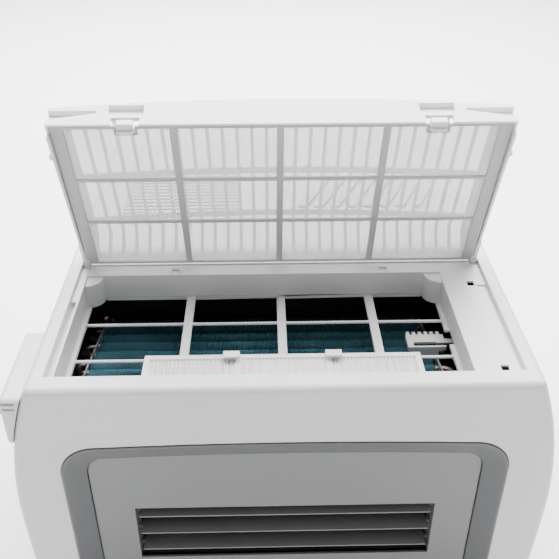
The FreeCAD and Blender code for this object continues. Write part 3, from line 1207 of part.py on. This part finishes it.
def build():
    nodes = {}
    nodes["base_pan"] = make_base_pan()
    nodes["front_housing"] = make_front_housing()
    nodes["rear_cabinet"] = make_rear_cabinet()
    nodes["rear_guard"] = make_rear_guard()
    nodes["coil_guard"] = make_coil_guard()
    nodes["front_surround"] = make_front_surround()
    nodes["front_panel"] = make_front_panel()
    nodes["display_window"] = make_display_window()
    nodes["control_board"] = make_control_board()
    nodes["control_box"] = make_control_box()
    nodes["run_capacitor"] = make_run_capacitor()
    nodes["side_cover"] = make_side_cover()
    nodes["cord_bush"] = make_cord_bush()
    nodes["cabinet_screws"] = make_cabinet_screws()
    fins, tubes, plates = make_evaporator()
    nodes["evaporator_fins"] = fins
    nodes["evaporator_tubes"] = tubes
    nodes["evaporator_end_plates"] = plates
    nodes["sensor_clip"] = make_sensor_clip()
    nodes["temperature_sensor"] = make_temperature_sensor()
    nodes["drip_tray"] = make_drip_tray()
    nodes["blower_scroll"] = make_blower_scroll()
    nodes["blower_motor"] = make_blower_motor()
    nodes["blower_wheel"] = make_blower_wheel()
    nodes["bulkhead"] = make_bulkhead()
    fins, tubes, plates = make_condenser()
    nodes["condenser_fins"] = fins
    nodes["condenser_tubes"] = tubes
    nodes["condenser_end_plates"] = plates
    nodes["fan_shroud"] = make_fan_shroud()
    nodes["condenser_fan"] = make_condenser_fan()
    nodes["fan_motor"] = make_fan_motor()
    nodes["fan_motor_bracket"] = make_motor_bracket()
    nodes["compressor"] = make_compressor()
    nodes["compressor_grommets"] = make_compressor_grommets()
    nodes["accumulator"] = make_accumulator()
    nodes["suction_line"] = make_suction_line()
    nodes["discharge_line"] = make_discharge_line()
    nodes["filter_drier"] = make_filter_drier()
    nodes["capillary_tube"] = make_capillary_tube()
    nodes["drain_plug"] = make_drain_plug()
    nodes["lid_shell"] = make_lid_shell()
    nodes["lid_rails"] = make_lid_rails()
    nodes["lid_hinge_pins"] = make_lid_pins()
    nodes["filter_frame"] = make_filter_frame()
    nodes["filter_mesh"] = make_filter_mesh()
    nodes["strip_filter_frame"], nodes["strip_filter_mesh"] = make_strip_filter()
    for number, z in enumerate(louver_places(), 1):
        nodes["louver_%d" % number] = make_louver(z)
    for number, x in enumerate(vane_places(), 1):
        nodes["vane_%d" % number] = make_vane(x)
    nodes["vane_link"] = make_vane_link()
    for number, x in enumerate(BUTTON_X, 1):
        nodes["button_%d" % number] = make_button(x)
    return nodes


def main():
    os.makedirs("parts", exist_ok=True)
    nodes = build()
    for name, shape in nodes.items():
        shape.exportStep("parts/%s.step" % name)
        bounds = shape.BoundBox
        print("%-22s solids %3d valid %s volume %9.0f  x %7.1f %7.1f  y %7.1f %7.1f  z %7.1f %7.1f" % (
            name, len(shape.Solids), shape.isValid(), shape.Volume, bounds.XMin, bounds.XMax,
            bounds.YMin, bounds.YMax, bounds.ZMin, bounds.ZMax))
    print(len(nodes), "nodes")


main()
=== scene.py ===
import json
import math

import bmesh
import bpy
from mathutils import Matrix, Vector
from mathutils.bvhtree import BVHTree


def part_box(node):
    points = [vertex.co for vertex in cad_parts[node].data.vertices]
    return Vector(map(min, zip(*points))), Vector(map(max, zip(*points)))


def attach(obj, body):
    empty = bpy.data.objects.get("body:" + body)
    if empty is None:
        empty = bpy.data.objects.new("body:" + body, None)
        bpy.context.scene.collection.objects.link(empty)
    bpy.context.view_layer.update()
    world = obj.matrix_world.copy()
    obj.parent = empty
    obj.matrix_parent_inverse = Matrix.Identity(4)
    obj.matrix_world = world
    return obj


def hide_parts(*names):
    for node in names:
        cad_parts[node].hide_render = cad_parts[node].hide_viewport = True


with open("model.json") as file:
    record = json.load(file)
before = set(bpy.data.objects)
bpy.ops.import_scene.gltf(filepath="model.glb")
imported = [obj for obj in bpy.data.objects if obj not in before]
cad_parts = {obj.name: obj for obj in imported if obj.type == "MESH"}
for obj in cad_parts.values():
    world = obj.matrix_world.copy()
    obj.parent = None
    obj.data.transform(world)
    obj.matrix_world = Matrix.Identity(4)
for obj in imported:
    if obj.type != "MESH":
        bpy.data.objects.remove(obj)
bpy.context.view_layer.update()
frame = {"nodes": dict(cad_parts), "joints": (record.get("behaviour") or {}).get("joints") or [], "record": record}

# ---- places and sizes, in metres ----
CAMERA_PLACE = (-0.0176, -0.7895, 0.7994)
CAMERA_PITCH = 33.17          # degrees below level
CAMERA_YAW = 1.27             # degrees towards +X
LENS = 50.0
SENSOR = 36.0

LID_OPEN = math.radians(70)
EVAP_TILT = math.radians(11)
EVAP_T = 0.032
EVAP_LENGTH = 0.180
EVAP_NEAR = (-0.247, 0.312)   # y and z of the coil's near upper edge
EVAP_TUBES = 9
EVAP_FIRST_TUBE = 0.009
FIN_PITCH = 0.0016
FIN_T = 0.00032
FIN_CREST = 0.0024            # how far the fins' upper edge dips between two tubes
FIN_INSET = 0.004             # from a coil's end plate to its first fin
COLLAR_INSET = 0.006          # from the right end plate to the end of the collars
TUBE_PITCH = 0.0195
ROW_PITCH = 0.016
COLLAR_R = 0.0055
CONDENSER_FIN_PITCH = FIN_PITCH * 1.25
CONDENSER_WAVE = 0.012        # length of one ripple on the condenser fins' rear edge
CONDENSER_RIPPLE = 0.0008
FLOOR_HALF = 6.0

NET_CELLS = 16                # grid over each pane of the lid filter's net
NET_T = 0.0003
NET_SLACK = 0.0010
NET_WANDER = 0.0003

PLEAT = 0.0036                # length of one fold of the strip filter
PLEAT_HEIGHT = 0.0010
PLEAT_WANDER = 0.0005
PLEAT_OVERLAP = 0.0005        # past the CAD net at each end
PLEAT_ROWS = 8
PLEAT_T = 0.0004

SCREW_DOME = 0.0013
SCREW_SKIRT = 0.0006


# ---------- materials ----------

class Nodes:
    """A node tree with short calls for adding and linking nodes."""

    def __init__(self, name):
        self.material = bpy.data.materials.new(name)
        self.material.use_nodes = True
        self.tree = self.material.node_tree
        self.shader = self.tree.nodes["Principled BSDF"]
        self.coords = self.tree.nodes.new("ShaderNodeTexCoord")

    def add(self, kind, inputs=None, **settings):
        node = self.tree.nodes.new(kind)
        for key, value in settings.items():
            setattr(node, key, value)
        for key, value in (inputs or {}).items():
            node.inputs[key].default_value = value
        return node

    def link(self, source, target):
        self.tree.links.new(source, target)

    def noise(self, scale, detail=2.0, stretch=None):
        texture = self.add("ShaderNodeTexNoise", {"Scale": scale, "Detail": detail})
        if stretch:
            mapping = self.add("ShaderNodeMapping", {"Scale": stretch})
            self.link(self.coords.outputs["Object"], mapping.inputs["Vector"])
            self.link(mapping.outputs["Vector"], texture.inputs["Vector"])
        else:
            self.link(self.coords.outputs["Object"], texture.inputs["Vector"])
        return texture.outputs["Fac"]

    def ramp(self, factor, low, high):
        node = self.add("ShaderNodeMapRange",
                        {"To Min": low, "To Max": high, "From Min": 0.3, "From Max": 0.7})
        self.link(factor, node.inputs["Value"])
        return node.outputs["Result"]

    def mix(self, factor, dark, light):
        node = self.add("ShaderNodeMix", data_type="RGBA")
        node.inputs["A"].default_value = (*dark, 1)
        node.inputs["B"].default_value = (*light, 1)
        self.link(factor, node.inputs["Factor"])
        return node.outputs["Result"]

    def bump(self, height, strength, distance, after=None):
        node = self.add("ShaderNodeBump", {"Strength": strength, "Distance": distance})
        self.link(height, node.inputs["Height"])
        if after:
            self.link(after, node.inputs["Normal"])
        return node.outputs["Normal"]


def shade(color, amount):
    return tuple(max(0.0, min(1.0, channel * amount)) for channel in color)


def moulded(name, color, rough, grain=0.10, grain_scale=1400.0, mottle=0.03, coat=0.0,
            ripple=0.12):
    """Moulded plastic or coated metal: soft mottling, uneven gloss and a fine surface grain."""
    nodes = Nodes(name)
    cloud = nodes.noise(9.0, 3.0)
    colour = nodes.mix(nodes.ramp(cloud, 0.0, 1.0), shade(color, 1 - mottle), shade(color, 1 + mottle))
    nodes.link(colour, nodes.shader.inputs["Base Color"])
    patch = nodes.noise(35.0, 2.0)
    nodes.link(nodes.ramp(patch, rough - 0.05, rough + 0.05), nodes.shader.inputs["Roughness"])
    fine = nodes.noise(grain_scale, 2.0)
    wave = nodes.noise(22.0, 1.0)
    soft = nodes.bump(wave, ripple, 0.0012)
    nodes.link(nodes.bump(fine, grain, 0.00015, soft), nodes.shader.inputs["Normal"])
    nodes.shader.inputs["Coat Weight"].default_value = coat
    return nodes.material


def drawn_metal(name, color, rough, stretch, grain_scale=260.0, mottle=0.10):
    """Drawn or rolled metal: streaks along one direction in colour, gloss and relief."""
    nodes = Nodes(name)
    streak = nodes.noise(grain_scale, 3.0, stretch)
    colour = nodes.mix(nodes.ramp(streak, 0.0, 1.0), shade(color, 1 - mottle), shade(color, 1 + mottle))
    nodes.link(colour, nodes.shader.inputs["Base Color"])
    nodes.link(nodes.ramp(streak, rough - 0.08, rough + 0.08), nodes.shader.inputs["Roughness"])
    nodes.link(nodes.bump(streak, 0.15, 0.0002), nodes.shader.inputs["Normal"])
    nodes.shader.inputs["Metallic"].default_value = 1.0
    return nodes.material


def spangled_zinc(name, color):
    """Galvanised sheet with its crystal spangle."""
    nodes = Nodes(name)
    cells = nodes.add("ShaderNodeTexVoronoi", {"Scale": 90.0})
    nodes.link(nodes.coords.outputs["Object"], cells.inputs["Vector"])
    colour = nodes.mix(cells.outputs["Distance"], shade(color, 0.8), shade(color, 1.15))
    nodes.link(colour, nodes.shader.inputs["Base Color"])
    nodes.link(nodes.ramp(cells.outputs["Distance"], 0.3, 0.5), nodes.shader.inputs["Roughness"])
    nodes.link(nodes.bump(cells.outputs["Distance"], 0.05, 0.0002), nodes.shader.inputs["Normal"])
    nodes.shader.inputs["Metallic"].default_value = 0.9
    return nodes.material


def coated_fin(name, dark, light):
    """Hydrophilic fin coating with painted highlights: lighter bands at the tube pitch, one over each tube."""
    nodes = Nodes(name)
    turn = nodes.add("ShaderNodeMapping", {"Rotation": (EVAP_TILT, 0, 0)})
    nodes.link(nodes.coords.outputs["Object"], turn.inputs["Vector"])
    # painted highlight: bands at the tube pitch, lighter over each tube, mixed into the fin colour
    wave = nodes.add("ShaderNodeTexWave", {"Scale": 1 / (TUBE_PITCH * math.pi), "Distortion": 0.4},
                     wave_type="BANDS", bands_direction="Y", wave_profile="SIN")
    nodes.link(turn.outputs["Vector"], wave.inputs["Vector"])
    cloud = nodes.noise(30.0, 3.0)
    tube_highlight_bands = nodes.add("ShaderNodeMath", {1: 0.6}, operation="MULTIPLY")
    nodes.link(wave.outputs["Fac"], tube_highlight_bands.inputs[0])
    tint_with_highlights = nodes.add("ShaderNodeMath", operation="MULTIPLY_ADD")
    tint_with_highlights.inputs[1].default_value = 0.4
    nodes.link(cloud, tint_with_highlights.inputs[0])
    nodes.link(tube_highlight_bands.outputs["Value"], tint_with_highlights.inputs[2])
    colour = nodes.mix(tint_with_highlights.outputs["Value"], dark, light)
    nodes.link(colour, nodes.shader.inputs["Base Color"])
    nodes.link(nodes.ramp(cloud, 0.3, 0.5), nodes.shader.inputs["Roughness"])
    nodes.shader.inputs["Metallic"].default_value = 0.55
    return nodes.material


def woven_net(name, color, cover, pitch):
    """Fine net: threads both ways in relief, see-through between them."""
    nodes = Nodes(name)
    scale = 2 * math.pi / (20 * pitch)
    threads = []
    for direction in ("X", "Z"):
        wave = nodes.add("ShaderNodeTexWave", {"Scale": scale}, wave_type="BANDS",
                         bands_direction=direction, wave_profile="SIN")
        nodes.link(nodes.coords.outputs["Object"], wave.inputs["Vector"])
        threads.append(wave.outputs["Fac"])
    top = nodes.add("ShaderNodeMath", operation="MAXIMUM")
    nodes.link(threads[0], top.inputs[0])
    nodes.link(threads[1], top.inputs[1])
    cloud = nodes.noise(14.0, 3.0)
    colour = nodes.mix(nodes.ramp(cloud, 0.0, 1.0), shade(color, 0.94), shade(color, 1.05))
    nodes.link(colour, nodes.shader.inputs["Base Color"])
    nodes.link(nodes.bump(top.outputs["Value"], 0.25, 0.0003), nodes.shader.inputs["Normal"])
    nodes.shader.inputs["Roughness"].default_value = 0.75
    cover_map = nodes.add("ShaderNodeMapRange", {"To Min": cover - 0.10, "To Max": cover + 0.08})
    nodes.link(top.outputs["Value"], cover_map.inputs["Value"])
    nodes.link(cover_map.outputs["Result"], nodes.shader.inputs["Alpha"])
    return nodes.material


MATERIALS = {
    "white_plastic": moulded("white_plastic", (0.66, 0.655, 0.65), 0.42),
    "lid_plastic": moulded("lid_plastic", (0.80, 0.795, 0.795), 0.40),
    "cabinet_paint": moulded("cabinet_paint", (0.78, 0.775, 0.765), 0.36, grain=0.2, grain_scale=700.0,
                             coat=0.2),
    "galvanised_steel": spangled_zinc("galvanised_steel", (0.56, 0.58, 0.60)),
    "surround_plastic": moulded("surround_plastic", (0.10, 0.103, 0.106), 0.45, grain=0.2, mottle=0.0,
                                ripple=0.02),
    "panel_plastic": moulded("panel_plastic", (0.17, 0.173, 0.177), 0.36, grain=0.05, mottle=0.0, coat=0.1,
                             ripple=0.01),
    "display_tint": moulded("display_tint", (0.012, 0.014, 0.016), 0.10, grain=0.0, coat=0.8),
    "circuit_board": moulded("circuit_board", (0.03, 0.16, 0.07), 0.35),
    "bare_aluminium": drawn_metal("bare_aluminium", (0.72, 0.73, 0.74), 0.35, (1, 1, 14)),
    "black_screw": drawn_metal("black_screw", (0.03, 0.03, 0.03), 0.40, (1, 6, 6)),
    "rubber": moulded("rubber", (0.018, 0.018, 0.018), 0.70, grain=0.3),
    "coated_fins": coated_fin("coated_fins", (0.035, 0.095, 0.13), (0.10, 0.27, 0.34)),
    "copper": drawn_metal("copper", (0.66, 0.32, 0.18), 0.32, (12, 1, 1)),
    "clip_plastic": moulded("clip_plastic", (0.50, 0.51, 0.51), 0.45),
    "black_plastic": moulded("black_plastic", (0.015, 0.015, 0.016), 0.45),
    "duct_foam": moulded("duct_foam", (0.014, 0.015, 0.016), 0.85, grain=0.4, grain_scale=500.0),
    "motor_steel": drawn_metal("motor_steel", (0.45, 0.45, 0.46), 0.35, (1, 1, 10)),
    "insulated_panel": moulded("insulated_panel", (0.018, 0.019, 0.021), 0.75, grain=0.4, grain_scale=500.0),
    "fan_plastic": moulded("fan_plastic", (0.05, 0.05, 0.055), 0.50),
    "compressor_paint": moulded("compressor_paint", (0.012, 0.012, 0.012), 0.25, coat=0.4),
    "filter_plastic": moulded("filter_plastic", (0.42, 0.42, 0.415), 0.50),
    "strip_plastic": moulded("strip_plastic", (0.78, 0.77, 0.79), 0.45),
    "filter_net": woven_net("filter_net", (0.70, 0.70, 0.69), 0.50, 0.0016),
    "strip_net": woven_net("strip_net", (0.78, 0.76, 0.79), 0.90, 0.0024),
    "louver_plastic": moulded("louver_plastic", (0.17, 0.173, 0.177), 0.40),
    "button_plastic": moulded("button_plastic", (0.62, 0.62, 0.62), 0.40),
}

# the coil's collars and bends are coated, so they differ from the slots' own materials
COLLAR_MATERIAL = drawn_metal("fin_collars", (0.16, 0.40, 0.47), 0.30, (40, 1, 1), grain_scale=120.0,
                              mottle=0.6)
BEND_MATERIAL = drawn_metal("coated_bends", (0.14, 0.12, 0.11), 0.35, (12, 1, 1), mottle=0.5)


# ---------- helpers for pieces ----------

SLOT_OF = {entry["node"]: entry["material_slot"] for entry in frame["record"]["subparts"]}
BODY_OF = {node: body for body, nodes in frame["record"]["behaviour"]["bodies"].items() for node in nodes}


def place(mesh, name, body, slot, replaced=()):
    """Put a finished mesh in the scene as a piece of the object."""
    piece = bpy.data.objects.new(name, mesh)
    bpy.context.scene.collection.objects.link(piece)
    mesh.materials.clear()
    mesh.materials.append(MATERIALS[slot])
    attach(piece, body)
    if replaced:
        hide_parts(*replaced)
    return piece


def mesh_from(bm, name, smooth_angle=35.0):
    mesh = bpy.data.meshes.new(name)
    bmesh.ops.recalc_face_normals(bm, faces=bm.faces)
    bm.to_mesh(mesh)
    bm.free()
    for polygon in mesh.polygons:
        polygon.use_smooth = True
    mesh.set_sharp_from_angle(angle=math.radians(smooth_angle))
    return mesh


def softened(node, width, segments=2, angle=35.0):
    """The CAD node's own shape with its sharp edges rounded, shown in the node's place.

    Edges beside a very thin triangle stay sharp, and a corner thrown off the surface is put back on it.
    """
    bm = bmesh.new()
    bm.from_mesh(frame["nodes"][node].data)
    bmesh.ops.remove_doubles(bm, verts=bm.verts, dist=1e-6)
    bmesh.ops.dissolve_limit(bm, angle_limit=math.radians(0.5), verts=bm.verts, edges=bm.edges)
    bmesh.ops.triangulate(bm, faces=bm.faces, ngon_method="BEAUTY")
    surface = BVHTree.FromBMesh(bm)
    sharp = []
    for edge in bm.edges:
        if edge.is_manifold and edge.calc_face_angle() > math.radians(angle):
            room = 2.5 * width * edge.calc_length()
            if all(2 * face.calc_area() > room for face in edge.link_faces):
                sharp.append(edge)
    bmesh.ops.bevel(bm, geom=sharp, offset=width, offset_type="OFFSET", segments=segments, profile=0.5,
                    affect="EDGES", clamp_overlap=False)
    for vert in bm.verts:
        nearest, _, _, distance = surface.find_nearest(vert.co)
        if distance > 0.6 * width:
            vert.co = nearest
    piece = place(mesh_from(bm, node + "_soft"), node + "_soft", BODY_OF[node], SLOT_OF[node], (node,))
    normals = piece.modifiers.new("normals", "WEIGHTED_NORMAL")
    normals.keep_sharp = True


# ---------- coils ----------

def evaporator_point(x, along, down):
    """Point on the leaning coil from its near upper edge: along the top, then into its depth."""
    cos, sin = math.cos(EVAP_TILT), math.sin(EVAP_TILT)
    return Vector((x, EVAP_NEAR[0] + along * cos - down * sin, EVAP_NEAR[1] - along * sin - down * cos))


def evaporator_fins():
    """Close-pitched fins with a rippled upper edge."""
    low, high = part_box("evaporator_end_plates")
    x0, x1 = low.x + FIN_INSET, high.x - FIN_INSET
    steps = 54
    profile = []
    for step in range(steps + 1):
        s = EVAP_LENGTH * step / steps
        turn = 2 * math.pi * (s - EVAP_FIRST_TUBE) / TUBE_PITCH
        profile.append((s, FIN_CREST * (0.5 + 0.5 * math.cos(turn))))
    profile += [(EVAP_LENGTH, EVAP_T), (0.0, EVAP_T)]
    bm = bmesh.new()
    for index in range(int((x1 - x0) / FIN_PITCH)):
        x = x0 + index * FIN_PITCH
        lean = 0.0003 * math.sin(index * 1.7) * math.sin(index * 0.31)
        near = [bm.verts.new(evaporator_point(x + lean * (s / EVAP_LENGTH), s, d)) for s, d in profile]
        far = [bm.verts.new(evaporator_point(x + lean * (s / EVAP_LENGTH) + FIN_T, s, d)) for s, d in profile]
        bm.faces.new(near)
        bm.faces.new(list(reversed(far)))
        for i in range(len(profile)):
            j = (i + 1) % len(profile)
            bm.faces.new([near[i], far[i], far[j], near[j]])
    place(mesh_from(bm, "evaporator_fine_fins"), "evaporator_fine_fins", "cabinet", "coated_fins",
          ("evaporator_fins",))


def add_ring_tube(bm, centre_of, x0, x1, radius, pitch, sides=10, groove=0.0006):
    """Tube along X whose wall is grooved at every fin, so it reads as a row of fin collars."""
    rings = []
    count = int((x1 - x0) / pitch)
    for index in range(count * 2 + 1):
        x = x0 + index * pitch / 2
        r = radius - (groove if index % 2 else 0.0)
        ring = []
        for side in range(sides):
            angle = 2 * math.pi * side / sides
            ring.append(bm.verts.new(centre_of(x, r * math.cos(angle), r * math.sin(angle))))
        rings.append(ring)
    for a, b in zip(rings, rings[1:]):
        for side in range(sides):
            other = (side + 1) % sides
            bm.faces.new([a[side], b[side], b[other], a[other]])
    bm.faces.new(list(reversed(rings[0])))
    bm.faces.new(rings[-1])


def evaporator_collars():
    """The fins' collars round the upper row of tubes, seen between the fins as bright bands."""
    low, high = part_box("evaporator_end_plates")
    x0, x1 = low.x + FIN_INSET, high.x - COLLAR_INSET
    bm = bmesh.new()
    for row in range(2):
        depth = EVAP_T / 2 + (row - 0.5) * ROW_PITCH
        shift = TUBE_PITCH / 3 if row else 0.0
        for index in range(EVAP_TUBES):
            along = EVAP_FIRST_TUBE + index * TUBE_PITCH + shift

            def centre_of(x, u, v, along=along, depth=depth):
                return evaporator_point(x, along + u, depth + v)

            add_ring_tube(bm, centre_of, x0, x1, COLLAR_R, FIN_PITCH)
    piece = place(mesh_from(bm, "evaporator_fin_collars", 60), "evaporator_fin_collars", "cabinet",
                  "coated_fins")
    piece.data.materials[0] = COLLAR_MATERIAL


def condenser_fins():
    """Close-pitched upright fins with a rippled rear edge."""
    low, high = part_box("condenser_end_plates")
    bm = bmesh.new()
    x0, x1 = low.x + FIN_INSET, high.x - FIN_INSET
    steps = 60
    for index in range(int((x1 - x0) / CONDENSER_FIN_PITCH)):
        x = x0 + index * CONDENSER_FIN_PITCH
        outline = []
        for step in range(steps + 1):
            z = low.z + (high.z - low.z) * step / steps
            ripple = CONDENSER_RIPPLE * math.cos(2 * math.pi * (z - low.z) / CONDENSER_WAVE)
            outline.append(Vector((x, high.y - 0.001 + ripple, z)))
        outline.append(Vector((x, low.y, high.z)))
        outline.append(Vector((x, low.y, low.z)))
        near = [bm.verts.new(point) for point in outline]
        far = [bm.verts.new(point + Vector((FIN_T, 0, 0))) for point in outline]
        bm.faces.new(near)
        bm.faces.new(list(reversed(far)))
        for i in range(len(outline)):
            j = (i + 1) % len(outline)
            bm.faces.new([near[i], far[i], far[j], near[j]])
    place(mesh_from(bm, "condenser_fine_fins"), "condenser_fine_fins", "cabinet", "bare_aluminium",
          ("condenser_fins",))


# ---------- nets ----------

def lid_matrix():
    """From lid coordinates (x, distance from hinge, outward height) to the open rest pose."""
    joint = next(j for j in frame["joints"] if j["name"] == "lid_hinge")
    hinge = Vector(joint["pos_m"])
    along = Vector((0, -math.cos(LID_OPEN), math.sin(LID_OPEN)))
    out = Vector((0, math.sin(LID_OPEN), math.cos(LID_OPEN)))
    return Matrix(((1, 0, 0, hinge.x),
                   (0, along.y, out.y, hinge.y),
                   (0, along.z, out.z, hinge.z),
                   (0, 0, 0, 1)))


def mesh_islands(node):
    """The separate solids of a node, each as its list of corners."""
    bm = bmesh.new()
    bm.from_mesh(frame["nodes"][node].data)
    bmesh.ops.remove_doubles(bm, verts=bm.verts, dist=1e-6)
    seen = set()
    islands = []
    for start in bm.verts:
        if start in seen:
            continue
        seen.add(start)
        stack = [start]
        island = []
        while stack:
            vert = stack.pop()
            island.append(vert.co.copy())
            for edge in vert.link_edges:
                other = edge.other_vert(vert)
                if other not in seen:
                    seen.add(other)
                    stack.append(other)
        islands.append(island)
    bm.free()
    return islands


def filter_net():
    """One pane of net to each cell, slack by a fraction of a millimetre."""
    matrix = lid_matrix()
    inverse = matrix.inverted()
    bm = bmesh.new()
    for number, corners in enumerate(mesh_islands("filter_mesh")):
        island = [inverse @ corner for corner in corners]
        x0, x1 = min(p.x for p in island), max(p.x for p in island)
        s0, s1 = min(p.y for p in island), max(p.y for p in island)
        near = [p.z for p in island if p.y < s0 + 0.001]
        far = [p.z for p in island if p.y > s1 - 0.001]
        h0, h1 = sum(near) / len(near), sum(far) / len(far)
        grid = []
        for i in range(NET_CELLS + 1):
            row = []
            for j in range(NET_CELLS + 1):
                u, v = i / NET_CELLS, j / NET_CELLS
                slack = NET_SLACK * math.sin(math.pi * u) * math.sin(math.pi * v)
                wander = math.sin(9 * u + number) * math.sin(7 * v + 2 * number)
                slack += NET_WANDER * wander * math.sin(math.pi * v)
                point = Vector((x0 + (x1 - x0) * u, s0 + (s1 - s0) * v, h0 + (h1 - h0) * v + slack))
                row.append(bm.verts.new(matrix @ point))
            grid.append(row)
        for i in range(NET_CELLS):
            for j in range(NET_CELLS):
                bm.faces.new([grid[i][j], grid[i + 1][j], grid[i + 1][j + 1], grid[i][j + 1]])
    piece = place(mesh_from(bm, "filter_net"), "filter_net", "lid_filter", "filter_net", ("filter_mesh",))
    solid = piece.modifiers.new("thickness", "SOLIDIFY")
    solid.thickness = NET_T


def strip_net():
    """Pleated net of the strip filter, folded to a zigzag along its length."""
    low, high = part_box("strip_filter_mesh")
    x0, x1 = low.x - PLEAT_OVERLAP, high.x + PLEAT_OVERLAP
    bm = bmesh.new()
    count = int((x1 - x0) / PLEAT * 4)
    rows = []
    for index in range(count + 1):
        x = x0 + (x1 - x0) * index / count
        wave = PLEAT_HEIGHT * math.cos(2 * math.pi * (x - x0) / PLEAT)
        wander = PLEAT_WANDER * math.sin(x * 900) * math.sin(x * 137)
        column = []
        for step in range(PLEAT_ROWS + 1):
            v = step / PLEAT_ROWS
            y = low.y + (high.y - low.y) * v
            drift = 0.0006 * math.sin(v * 5 + index * 0.3)
            z = high.z + wave + wander * math.sin(math.pi * v)
            column.append(bm.verts.new((x + drift * 0.4, y, z)))
        rows.append(column)
    for a, b in zip(rows, rows[1:]):
        for i in range(PLEAT_ROWS):
            bm.faces.new([a[i], b[i], b[i + 1], a[i + 1]])
    piece = place(mesh_from(bm, "strip_pleats", 80), "strip_pleats", "strip_filter", "strip_net",
                  ("strip_filter_mesh",))
    solid = piece.modifiers.new("thickness", "SOLIDIFY")
    solid.thickness = PLEAT_T


# ---------- small details ----------

def add_screw_head(bm, centre, normal, radius, dome):
    """Domed head with a cross recess, facing along normal."""
    side = normal.orthogonal().normalized()
    other = normal.cross(side)
    rings, segments = 12, 40
    slot_half = 0.16
    grid = []
    for ring in range(rings + 1):
        r = ring / rings
        loop = []
        for segment in range(segments):
            angle = 2 * math.pi * segment / segments
            u, v = r * math.cos(angle), r * math.sin(angle)
            height = dome * (1 - r * r)
            if min(abs(u), abs(v)) < slot_half and r < 0.62:
                height -= dome * 0.9 * (1 - r / 0.75)
            loop.append(bm.verts.new(centre + side * (u * radius) + other * (v * radius) + normal * height))
        grid.append(loop)
    for inner, outer in zip(grid, grid[1:]):
        for segment in range(segments):
            after = (segment + 1) % segments
            bm.faces.new([inner[segment], outer[segment], outer[after], inner[after]])
    base = []
    for vert in grid[-1]:
        height = (vert.co - centre).dot(normal)
        base.append(bm.verts.new(vert.co - normal * (height + SCREW_SKIRT)))
    for segment in range(segments):
        after = (segment + 1) % segments
        bm.faces.new([grid[-1][segment], base[segment], base[after], grid[-1][after]])
    bm.faces.new(list(reversed(base)))
    bmesh.ops.remove_doubles(bm, verts=grid[0], dist=1e-7)


def screw_heads():
    """A cross-recessed head over each cabinet screw."""
    bm = bmesh.new()
    for points in mesh_islands("cabinet_screws"):
        sign = 1 if points[0].x > 0 else -1
        outer = max(abs(p.x) for p in points)
        face = [p for p in points if abs(p.x) > outer - 0.0001]
        y = (min(p.y for p in face) + max(p.y for p in face)) / 2
        z = (min(p.z for p in face) + max(p.z for p in face)) / 2
        radius = (max(p.y for p in face) - min(p.y for p in face)) / 2
        centre = Vector((sign * (outer + 0.0001), y, z))
        add_screw_head(bm, centre, Vector((sign, 0, 0)), radius, SCREW_DOME)
    place(mesh_from(bm, "screw_heads", 50), "screw_heads", "cabinet", "black_screw")


SOFT_NODES = {
    "front_housing": 0.0008, "lid_shell": 0.0006, "coil_guard": 0.0010, "strip_filter_frame": 0.0006,
    "filter_frame": 0.0008, "front_surround": 0.0006, "front_panel": 0.0006, "side_cover": 0.0006,
    "sensor_clip": 0.0004, "rear_guard": 0.0003, "louver_1": 0.0003, "louver_2": 0.0003, "louver_3": 0.0003,
    "rear_cabinet": 0.0004, "lid_rails": 0.0004,
}


# ---------- stage, light and camera ----------

def stage():
    bm = bmesh.new()
    bmesh.ops.create_grid(bm, x_segments=1, y_segments=1, size=FLOOR_HALF)
    mesh = bpy.data.meshes.new("floor")
    bm.to_mesh(mesh)
    bm.free()
    floor = bpy.data.objects.new("floor", mesh)
    bpy.context.scene.collection.objects.link(floor)
    mesh.materials.append(moulded("floor_paint", (0.94, 0.94, 0.94), 0.85, grain=0.0, mottle=0.0))


def area_light(name, place_at, look_at, size, power):
    data = bpy.data.lights.new(name, "AREA")
    data.shape = "RECTANGLE"
    data.size, data.size_y = size
    data.energy = power
    light = bpy.data.objects.new(name, data)
    light.location = place_at
    light.rotation_euler = (Vector(look_at) - Vector(place_at)).to_track_quat("-Z", "Y").to_euler()
    bpy.context.scene.collection.objects.link(light)


def lighting():
    world = bpy.data.worlds.new("studio")
    world.use_nodes = True
    background = world.node_tree.nodes["Background"]
    background.inputs["Color"].default_value = (1, 1, 1, 1)
    background.inputs["Strength"].default_value = 0.46
    bpy.context.scene.world = world
    area_light("overhead", (0.1, 0.55, 2.0), (0, 0.0, 0.35), (2.2, 1.6), 185)
    area_light("backdrop", (0.0, 2.1, 1.5), (0, 1.5, 0.0), (3.4, 1.8), 190)
    area_light("front_low", (-0.3, -2.2, 0.40), (0, 0, 0.22), (2.0, 0.5), 8)


def camera():
    data = bpy.data.cameras.new("camera")
    data.lens = LENS
    data.sensor_width = SENSOR
    viewer = bpy.data.objects.new("camera", data)
    viewer.location = CAMERA_PLACE
    viewer.rotation_euler = (math.radians(90 - CAMERA_PITCH), 0, math.radians(-CAMERA_YAW))
    bpy.context.scene.collection.objects.link(viewer)
    bpy.context.scene.camera = viewer


camera()
for node, obj in frame["nodes"].items():
    obj.data.materials.clear()
    obj.data.materials.append(MATERIALS[SLOT_OF[node]])
frame["nodes"]["evaporator_tubes"].data.materials[0] = BEND_MATERIAL
for node, width in SOFT_NODES.items():
    softened(node, width)
evaporator_fins()
evaporator_collars()
condenser_fins()
filter_net()
strip_net()
screw_heads()
lighting()
stage()
